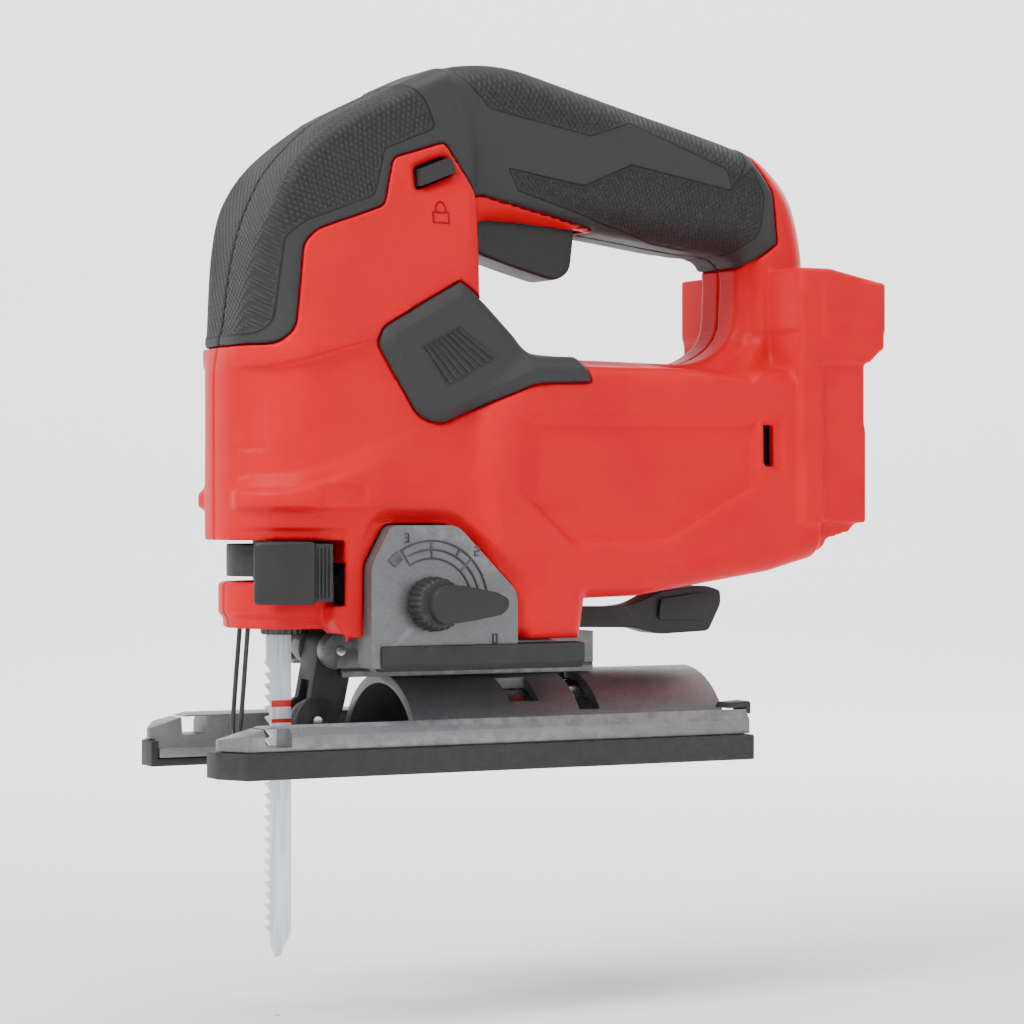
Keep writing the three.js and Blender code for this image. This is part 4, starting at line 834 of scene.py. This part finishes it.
class JIGSAW_OT_grips(PieceOperator, bpy.types.Operator):
    """Rubber skins of the handle and nose, with their textured panels"""

    bl_idname = "jigsaw.grips"
    bl_label = "Rubber grips"

    def execute(self, context):
        found = shells()
        for side in ("left", "right"):
            points, faces = found["field"].surface(found["grip"], side == "right")
            mark_panels(put_mesh("grip_" + side + "_form", points, faces, "tool_body",
                                 rubber_material(), ["grip_" + side]))
        return {"FINISHED"}


def surface_y(f, values, x, z):
    """How far out a form's side lies at a place."""
    column = values[int(round((x - f.low[0]) / f.step)), :, int(round((z - f.low[2]) / f.step))]
    j = np.nonzero(column < 0)[0].max()
    return f.ys[j] + column[j] / (column[j] - column[j + 1]) * f.step


class JIGSAW_OT_thumb_pads(PieceOperator, bpy.types.Operator):
    """Raised rubber thumb pads with their ribs"""

    bl_idname = "jigsaw.thumb_pads"
    bl_label = "Thumb pads"

    def execute(self, context):
        found = shells()
        material = plastic("Pad rubber", linear(context.scene.jigsaw_looks.rubber_colour), 0.6, grain=1700.0,
                           height=0.15, wear_and_highlight=0.35, specular=0.28, lift=2.2)
        for side, sign in (("left", 1), ("right", -1)):
            points, faces = found["field"].surface(found["thumb"], side == "right")
            put_mesh("thumb_pad_" + side + "_form", points, faces, "tool_body", material,
                     ["thumb_pad_" + side])
            a, b, c, d = (np.array(corner) for corner in THUMB_RIBS)
            bars = []
            for i in range(RIB_ROWS):
                t = (i + 0.8) / (RIB_ROWS + 0.6)
                start, end = a + (b - a) * t, d + (c - d) * t
                bar = [start + (end - start) * u for u in np.linspace(0.08, 0.92, 6)]
                bars.append([(x, sign * (surface_y(found["field"], found["thumb"], x, z) + 0.1), z)
                             for x, z in bar])
            tube("thumb_ribs_" + side, bars, 0.5, "tool_body", material)
        return {"FINISHED"}


DIAL = (-33.6, 48.2)  # middle of the orbit dial
FACE_Y = 33.0  # the gear case's left face, on which the dial lies
DIGIT_SIZE = 0.62


def on_dial(radius, degrees):
    """A place on the dial, by its distance from the middle and its angle from the rear."""
    a = math.radians(degrees)
    return DIAL[0] - radius * math.cos(a), DIAL[1] + radius * math.sin(a)


class JIGSAW_OT_gear_case(PieceOperator, bpy.types.Operator):
    """Cast gear case with a black sheet of painted shade on its base's sides, and the raised scale of the
    orbit dial, painted dark as shade
    """

    bl_idname = "jigsaw.gear_case"
    bl_label = "Gear case and dial"

    def execute(self, context):
        softened("gear_housing", "tool_body", cast_material(), bevel=0.35)
        # painted shade: a black sheet over the base's lower sides, which slant inward; the base itself is
        # cast metal
        bm = bmesh.new()
        for side in (-1, 1):
            section = [(29.8, 36.6), (34.1, 36.2), (34.1, 31.2), (32.4, 28.9), (29.8, 28.9)]
            add_prism(bm, [(side * corner[0], *corner[1:]) for corner in section], "x", -83.6, -17.4)
        solid_from(bm, "gear_case_shade_band", "tool_body", black_material(), bevel=0.5)
        bm = bmesh.new()
        for radius, start, end in ((18.2, -4, 122), (15.6, 2, 118), (13.1, 8, 122)):
            count = 28
            inner, outer = [], []
            for i in range(count + 1):
                angle = start + (end - start) * i / count
                inner.append(on_dial(radius - 0.28, angle))
                outer.append(on_dial(radius + 0.28, angle))
            add_prism(bm, inner + outer[::-1], "y", FACE_Y - 0.3, FACE_Y + 0.35)
        ticks = ((122, 12.8, 18.6), (90, 12.8, 18.2), (45, 12.8, 18.2), (8, 12.8, 18.2), (60, 15.6, 18.2))
        for angle, low, high in ticks:
            wide = math.degrees(0.28 / high)
            add_prism(bm, [on_dial(low, angle - wide), on_dial(high, angle - wide),
                           on_dial(high, angle + wide), on_dial(low, angle + wide)], "y",
                      FACE_Y - 0.3, FACE_Y + 0.4)
        stop = [on_dial(15.8, 126), on_dial(18.8, 126), on_dial(18.8, 138), on_dial(15.8, 138)]
        add_prism(bm, stop, "y", FACE_Y - 0.3, FACE_Y + 0.6)
        self.digits(bm)
        # painted shade: the cast ridges of arcs, ticks, stop and digits take the dark steel, for the shadows
        # beside them
        solid_from(bm, "dial_scale", "tool_body", dark_steel_material(), bevel=0.08, segments=1)
        return {"FINISHED"}

    def digits(self, bm):
        """The numbers of the orbit's four places, in raised strokes."""
        strokes = {
            3: [(0, 4, 2, 4), (2, 4, 2, 2.1), (0.6, 2.1, 2, 2.1), (2, 2.1, 2, 0), (0, 0, 2, 0)],
            2: [(0, 4, 2, 4), (2, 4, 2, 2), (0, 2, 2, 2), (0, 2, 0, 0), (0, 0, 2, 0)],
            1: [(1, 0, 1, 4)],
            0: [(0, 0, 2, 0), (2, 0, 2, 4), (0, 4, 2, 4), (0, 0, 0, 4)],
        }
        for digit, (x, z) in ((3, (-25.0, 66.0)), (2, (-47.6, 62.0)), (1, (-54.6, 48.6)), (0, (-53.6, 36.6))):
            for a0, b0, a1, b1 in strokes[digit]:
                p = np.array([x - a0 * DIGIT_SIZE, z + b0 * DIGIT_SIZE])
                q = np.array([x - a1 * DIGIT_SIZE, z + b1 * DIGIT_SIZE])
                along = (q - p) / np.linalg.norm(q - p)
                out = np.array([-along[1], along[0]]) * 0.22
                p, q = p - along * 0.2, q + along * 0.2
                add_prism(bm, [p - out, q - out, q + out, p + out], "y", FACE_Y - 0.3, FACE_Y + 0.3)


class JIGSAW_OT_orbit_knob(PieceOperator, bpy.types.Operator):
    """Orbit selector: ribbed base, smooth cap and tapered pointer"""

    bl_idname = "jigsaw.orbit_knob"
    bl_label = "Orbit knob"

    def execute(self, context):
        radius = context.scene.jigsaw_looks.knob_radius / MM
        bm = bmesh.new()
        low = FACE_Y + 0.5

        def ripple(angle, r):
            return 1 + (0.028 * math.cos(angle * 26) if r > radius - 1.4 else 0)

        profile = [(3.0, low), (radius - 0.3, low), (radius, low + 0.5), (radius - 0.5, low + 5.2),
                   (radius - 1.1, low + 6.2), (4.0, low + 6.6), (3.0, low + 6.6)]
        add_lathe(bm, profile, "y", DIAL, 156, ripple)
        pointer = [(x + DIAL[0], z + DIAL[1], *r) for x, z, *r in [
            (3, 6.2, 3), (-7, 5.6, 4), (-17.5, 3.6, 1.2), (-21.6, 1.6, 1.0), (-21.6, -1.2, 1.0),
            (-19.4, -3.4, 1.2), (-7, -5.6, 4), (3, -6.2, 3), (6.2, 0, 4)]]
        add_prism(bm, pointer, "y", low + 1.2, FACE_Y + 9.4, taper=0.9)
        solid_from(bm, "orbit_knob_form", "orbit_selector", black_material(), ["orbit_knob"],
                   bevel=0.7, segments=3, angle=40)
        return {"FINISHED"}


class JIGSAW_OT_release_lever(PieceOperator, bpy.types.Operator):
    """Blade release lever: hub ring, curved grip and its ribbed step"""

    bl_idname = "jigsaw.release_lever"
    bl_label = "Release lever"

    def execute(self, context):
        def arc(radius, start, end, steps=10):
            return [(BAR_X + radius * math.cos(math.radians(a)), radius * math.sin(math.radians(a)))
                    for a in np.linspace(start, end, steps)]

        bm = bmesh.new()
        add_prism(bm, arc(33.2, 51, 82) + arc(22, 82, 51), "z", 48.4, 66.2)
        solid_from(bm, "release_lever_grip", "release", black_material(), bevel=1.7,
                   segments=4, angle=48)
        bm = bmesh.new()
        add_prism(bm, arc(32.0, 82.2, 92) + arc(22.2, 92, 82.2), "z", 49.2, 65.6)
        for angle in (84, 86, 88, 90):
            rib = arc(32.5, angle - 0.55, angle + 0.55, 3) + arc(31.5, angle + 0.55, angle - 0.55, 3)
            add_prism(bm, rib, "z", 50.2, 64.6)
        add_prism(bm, arc(23, 59, 84) + arc(15.5, 84, 59), "z", 57, 64.6)
        hub = [(16.8, 56.2), (16.8, 65.2), (16.4, 65.4), (9.8, 65.4), (9.8, 56), (16.4, 56), (16.8, 56.2)]
        add_lathe(bm, hub, "z", (BAR_X, 0), 72)
        solid_from(bm, "release_lever_form", "release", black_material(),
                   ["release_lever"], bevel=0.5, segments=2, angle=48)
        return {"FINISHED"}


class JIGSAW_OT_blade(PieceOperator, bpy.types.Operator):
    """Blade with set teeth, and its ribbed clamp sleeve"""

    bl_idname = "jigsaw.blade"
    bl_label = "Blade and clamp"

    def execute(self, context):
        pitch = context.scene.jigsaw_looks.tooth_pitch / MM
        top, first, tip, half, thick = 49.0, 31.0, -55.0, 4.0, 0.62
        count = int((first - tip - 5) / pitch)
        edge = [(half - 0.4, top), (half - 0.4, first + 1)]
        for i in range(count):
            z = first - i * pitch
            edge += [(half, z), (half - 0.15, z - pitch * 0.12), (half - 1.7, z - pitch * 0.72),
                     (half - 1.6, z - pitch * 0.92)]
        outline = edge + [(half - 1.8, tip + 4), (half - 3.0, tip), (half - 4.6, tip + 0.3),
                          (-half, tip + 7), (-half, top)]
        bm = bmesh.new()
        add_prism(bm, outline, "y", -thick, thick)
        for v in bm.verts:
            if v.co.x > half - 0.3 and v.co.z < first + 0.5:
                v.co.y += 0.22 if round((first - v.co.z) / pitch) % 2 else -0.22
        solid_from(bm, "blade_form", "blade_carrier", blade_material(), ["blade"], bevel=0.0)
        bm = bmesh.new()

        def ripple(angle, r):
            return 1 + (0.03 * math.cos(angle * 22) if r > 6 else 0)

        sleeve = [(3.4, 39), (6.3, 39), (6.7, 39.5), (6.7, 45.6), (6.2, 46.2), (5.4, 46.4), (5.4, 54.3),
                  (5.1, 54.6), (3.4, 54.6), (3.4, 39)]
        add_lathe(bm, sleeve, "z", (BAR_X, 0), 132, ripple)
        solid_from(bm, "blade_clamp_form", "blade_carrier", dark_steel_material(),
                   ["blade_clamp"])
        return {"FINISHED"}


class JIGSAW_OT_roller(PieceOperator, bpy.types.Operator):
    """Roller arm with its housing, the grooved roller and their pins"""

    bl_idname = "jigsaw.roller"
    bl_label = "Roller guide"

    def execute(self, context):
        softened("roller_arm", "roller_carrier", black_material(), bevel=0.35)
        bm = bmesh.new()
        for side in (-1, 1):
            profile = [(r, y * side) for r, y in (
                (1.7, 5.8), (6.9, 5.8), (7.3, 5.4), (7.3, 3.2), (1.7, 3.2), (1.7, 5.8))]
            add_lathe(bm, profile, "y", (-10.3, 13.6), 40)
        solid_from(bm, "roller_cheeks", "roller_carrier", black_material())
        softened("guide_roller", "roller", steel_material(), bevel=0.15)
        softened("roller_pin", "roller_carrier", steel_material(), bevel=0.3)
        softened("arm_pivot_pin", "tool_body", steel_material(), bevel=0.3)
        return {"FINISHED"}


class JIGSAW_OT_wire_guard(PieceOperator, bpy.types.Operator):
    """Bent wire in front of the blade"""

    bl_idname = "jigsaw.wire_guard"
    bl_label = "Wire guard"

    def execute(self, context):
        radius = context.scene.jigsaw_looks.wire_radius / MM
        half = [(3, 46), (3, 34), (3, 20), (2.8, 14), (2.0, 10.4)]
        bent = [(-y, z) for y, z in half] + [(0, 9.2)] + half[::-1]
        points = [(10.8 + (40 - z) * 0.08, y, z) for y, z in bent]  # leans forward, lower down
        tube("wire_guard_form", [points], radius, "tool_body", dark_steel_material(),
             ["wire_guard"])
        return {"FINISHED"}


class JIGSAW_OT_shoe(PieceOperator, bpy.types.Operator):
    """Cast shoe with its half tube, sole cover, clips and bevel scale"""

    bl_idname = "jigsaw.shoe"
    bl_label = "Shoe"

    def execute(self, context):
        softened("shoe", "shoe_assembly", shoe_material(), bevel=0.4, angle=28)
        softened("shoe_cover", "shoe_assembly", black_material(), bevel=0.4)
        for side in ("left", "right"):
            softened("cover_clip_" + side, "shoe_assembly", black_material(), bevel=0.25)
        softened("degree_plate", "shoe_assembly", steel_material(), bevel=0.1)
        return {"FINISHED"}


class JIGSAW_OT_bevel_lever(PieceOperator, bpy.types.Operator):
    """Bevel lever with its hub, shaft and paddle, and its bolt"""

    bl_idname = "jigsaw.bevel_lever"
    bl_label = "Bevel lever"

    def execute(self, context):
        bm = bmesh.new()
        hub = [(3.4, 38.8), (6.8, 38.8), (7.2, 39.2), (7.2, 45.6), (6.6, 46.4), (3.4, 46.4), (3.4, 38.8)]
        add_lathe(bm, hub, "z", (BOLT_X, 0), 40)
        arm = [(BOLT_X, 39.6), (BOLT_X, 45.8), (-112, 45.6, 3), (-118, 46.4, 2), (-127.5, 50.2, 2),
               (-143, 51.8, 2), (-148.4, 50.2, 1.2), (-148.6, 46, 1.5), (-144.0, 37.6, 1.5),
               (-126, 36.9, 2), (-118, 39, 2)]
        add_prism(bm, arm, "y", -5.2, 5.2)
        for v in bm.verts:
            if v.co.x < -95:
                wide = np.interp(-v.co.x, [92, 112, 120, 128, 148], [0.85, 0.62, 0.8, 1.05, 0.95])
                v.co.y *= wide
        solid_from(bm, "bevel_lever_form", "bevel_clamp", black_material(),
                   ["bevel_lever"], bevel=1.1, segments=3, angle=35)
        bm = bmesh.new()
        panel = [(-125.6, 41.4, 1.5), (-126.4, 47.9, 1.5), (-141, 49.6, 1.5), (-145.4, 48.0, 1),
                 (-142.8, 41.0, 1.5)]
        add_prism(bm, panel, "y", 5.0, 5.75)
        add_prism(bm, panel, "y", -5.75, -5.0)
        solid_from(bm, "bevel_lever_faces", "bevel_clamp", black_material(), bevel=0.3)
        softened("bevel_bolt", "bevel_clamp", dark_steel_material(), bevel=0.25)
        return {"FINISHED"}


class JIGSAW_OT_switches(PieceOperator, bpy.types.Operator):
    """Trigger and lock button"""

    bl_idname = "jigsaw.switches"
    bl_label = "Trigger and lock button"

    def execute(self, context):
        bm = bmesh.new()
        outline = [(-58.9, 164), (-58.9, 155, 3), (-62.5, 151.6, 3), (-76, 147.6, 6), (-88.6, 144.4, 3),
                   (-93.6, 147.4, 3), (-94.8, 157, 2), (-94.8, 164)]
        add_prism(bm, outline, "y", -7.4, 7.4)
        solid_from(bm, "trigger_form", "trigger_key", black_material(), ["trigger"],
                   bevel=1.6, segments=4, angle=50)
        bm = bmesh.new()
        button = [(-34.4, 174.0, 0.6), (-44.6, 178.0, 1), (-46.2, 173.6, 0.6), (-34.4, 168.9, 0.6)]
        add_prism(bm, button, "y", -24.3, 24.3)
        solid_from(bm, "lock_button_form", "lock_key", black_material(), ["lock_button"],
                   bevel=0.5, segments=2)
        return {"FINISHED"}


class JIGSAW_OT_padlock(PieceOperator, bpy.types.Operator):
    """Small moulded padlock sign under the lock button"""

    bl_idname = "jigsaw.padlock"
    bl_label = "Padlock sign"

    def execute(self, context):
        found = shells()
        f, outer = found["field"], found["outer"]
        sign = [(-38.2, 158.6), (-43.2, 158.6), (-43.2, 161.6), (-38.2, 161.6), (-38.2, 158.6)]
        bow = [(-39.2, 161.6), (-39.2, 163.2), (-39.8, 164.4), (-40.8, 164.8), (-41.8, 164.4),
               (-42.3, 163.2), (-42.3, 161.6)]
        lines = []
        for line in (sign, bow):
            places = [np.array(p) + (np.array(q) - np.array(p)) * t for p, q in zip(line, line[1:])
                      for t in np.linspace(0, 1, 5)[:-1]] + [np.array(line[-1])]
            lines.append([(x, surface_y(f, outer, x, z) - 0.1, z) for x, z in places])
        material = plastic("Deep red plastic", linear((0.52, 0.02, 0.06)), 0.45, specular=0.13)
        tube("padlock_sign", lines, 0.34, "tool_body", material)
        return {"FINISHED"}


class JIGSAW_OT_details(PieceOperator, bpy.types.Operator):
    """Screws, battery contacts, and finishes of the pieces inside"""

    bl_idname = "jigsaw.details"
    bl_label = "Screws, contacts and inner pieces"

    def execute(self, context):
        for i in range(1, 9):
            softened("housing_screw_%d" % i, "tool_body", dark_steel_material(), bevel=0.12)
        softened("terminal_block", "tool_body", black_material(), bevel=0.2)
        softened("bevel_clamp_plate", "tool_body", steel_material(), bevel=0.25)
        softened("plunger", "blade_carrier", steel_material(), bevel=0.2)
        inner = {
            "upper_bushing": bronze_material, "lower_bushing": bronze_material, "stator": bronze_material,
            "gear_bearing": steel_material, "pinion_bearing": steel_material,
            "front_motor_bearing": steel_material,
            "rear_motor_bearing": steel_material, "crank_gear": steel_material,
            "crank_pin": steel_material,
            "gear_axle": steel_material, "rotor_shaft": steel_material, "pinion": steel_material,
            "orbit_shaft": steel_material, "rotor": dark_steel_material, "cooling_fan": black_material,
            "switch_module": black_material, "control_board": board_material, "work_light": lens_material,
        }
        for name, make in inner.items():
            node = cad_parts[name]
            node.data.materials.clear()
            node.data.materials.append(make())
            node.data.set_sharp_from_angle(angle=math.radians(30))
        return {"FINISHED"}


class JIGSAW_OT_studio(PieceOperator, bpy.types.Operator):
    """Pale seamless floor, soft lights and the camera"""

    bl_idname = "jigsaw.studio"
    bl_label = "Studio"

    def execute(self, context):
        depth = context.scene.jigsaw_looks.floor_depth
        material, n, shader = start_material("Studio paper")
        shader.inputs["Base Color"].default_value = (0.96, 0.96, 0.96, 1)
        shader.inputs["Roughness"].default_value = 0.9
        bm = bmesh.new()
        sides = 96
        sweep = (
            (0.001, 0), (0.8, 0), (1.6, 0), (2.0, 0.04), (2.3, 0.16), (2.5, 0.4), (2.58, 0.8), (2.6, 1.6))
        rings = []
        for radius, rise in sweep:
            rings.append([bm.verts.new((radius * math.cos(a), radius * math.sin(a), rise - depth))
                          for a in np.linspace(0, 2 * math.pi, sides + 1)[:-1]])
        for a, b in zip(rings, rings[1:]):
            for i in range(sides):
                bm.faces.new((a[i], b[i], b[(i + 1) % sides], a[(i + 1) % sides]))
        mesh = bpy.data.meshes.new("studio_paper")
        bm.to_mesh(mesh)
        bm.free()
        mesh.polygons.foreach_set("use_smooth", [True] * len(mesh.polygons))
        mesh.materials.append(material)
        paper = bpy.data.objects.new("studio_paper", mesh)
        context.scene.collection.objects.link(paper)
        # directions towards the camera, to its right and up
        back, right, up = Vector((0.4695, 0.8829, 0)), Vector((-0.8829, 0.4695, 0)), Vector((0, 0, 1))
        middle = Vector((-0.077, 0.0, 0.0766))
        lights = (  # name, place along the three directions, size, power
            ("key_light", (0.75, -0.85, 1.0), 0.6, 24), ("fill_light", (0.9, 1.1, 0.35), 1.2, 5),
            ("top_light", (-0.1, 0.1, 1.3), 1.1, 14), ("rim_light", (-0.9, 0.9, 0.6), 0.7, 5),
            ("backdrop_light", (-1.0, 0, 1.5), 1.8, 60))
        for name, (a, b, c), size, power in lights:
            lamp = bpy.data.lights.new(name, "AREA")
            lamp.shape, lamp.size, lamp.energy = "SQUARE", size, power
            piece = bpy.data.objects.new(name, lamp)
            context.scene.collection.objects.link(piece)
            piece.location = middle + back * a + right * b + up * c
            aim = -back * 1.3 - up * 0.75 if name == "backdrop_light" else middle - piece.location
            piece.rotation_euler = aim.to_track_quat("-Z", "Y").to_euler()
        world = bpy.data.worlds.new("Studio air")
        world.use_nodes = True
        world.node_tree.nodes["Background"].inputs[0].default_value = (0.95, 0.96, 1.0, 1)
        world.node_tree.nodes["Background"].inputs[1].default_value = 0.55
        context.scene.world = world
        camera = bpy.data.cameras.new("camera")
        camera.lens, camera.sensor_width = 108.6, 36
        camera.clip_start, camera.clip_end = 0.01, 20
        seen = bpy.data.objects.new("camera", camera)
        context.scene.collection.objects.link(seen)
        seen.matrix_world = Matrix((
            (right.x, 0, back.x, 0.3623), (right.y, 0, back.y, 0.8267), (0, 1, 0, 0.0746), (0, 0, 0, 1)))
        context.scene.camera = seen
        return {"FINISHED"}


STEPS = (
    JIGSAW_OT_housing, JIGSAW_OT_grips, JIGSAW_OT_thumb_pads, JIGSAW_OT_gear_case, JIGSAW_OT_orbit_knob,
    JIGSAW_OT_release_lever, JIGSAW_OT_blade, JIGSAW_OT_roller, JIGSAW_OT_wire_guard, JIGSAW_OT_shoe,
    JIGSAW_OT_bevel_lever, JIGSAW_OT_switches, JIGSAW_OT_padlock, JIGSAW_OT_details, JIGSAW_OT_studio)


class JIGSAW_PT_panel(bpy.types.Panel):
    """Lists the jigsaw's settings and pieces"""

    bl_idname = "JIGSAW_PT_panel"
    bl_label = "Jigsaw"
    bl_space_type = "VIEW_3D"
    bl_region_type = "UI"
    bl_category = "Jigsaw"

    def draw(self, context):
        looks = context.scene.jigsaw_looks
        for name in JigsawLooks.__annotations__:
            self.layout.prop(looks, name)
        for step in STEPS:
            self.layout.operator(step.bl_idname)


CLASSES = (JigsawLooks, *STEPS, JIGSAW_PT_panel)


def register():
    for cls in CLASSES:
        bpy.utils.register_class(cls)
    bpy.types.Scene.jigsaw_looks = bpy.props.PointerProperty(type=JigsawLooks)


def unregister():
    del bpy.types.Scene.jigsaw_looks
    for cls in reversed(CLASSES):
        bpy.utils.unregister_class(cls)


def main():
    register()
    for step in STEPS:
        group, name = step.bl_idname.split(".")
        getattr(getattr(bpy.ops, group), name)()


if __name__ == "__main__":
    main()
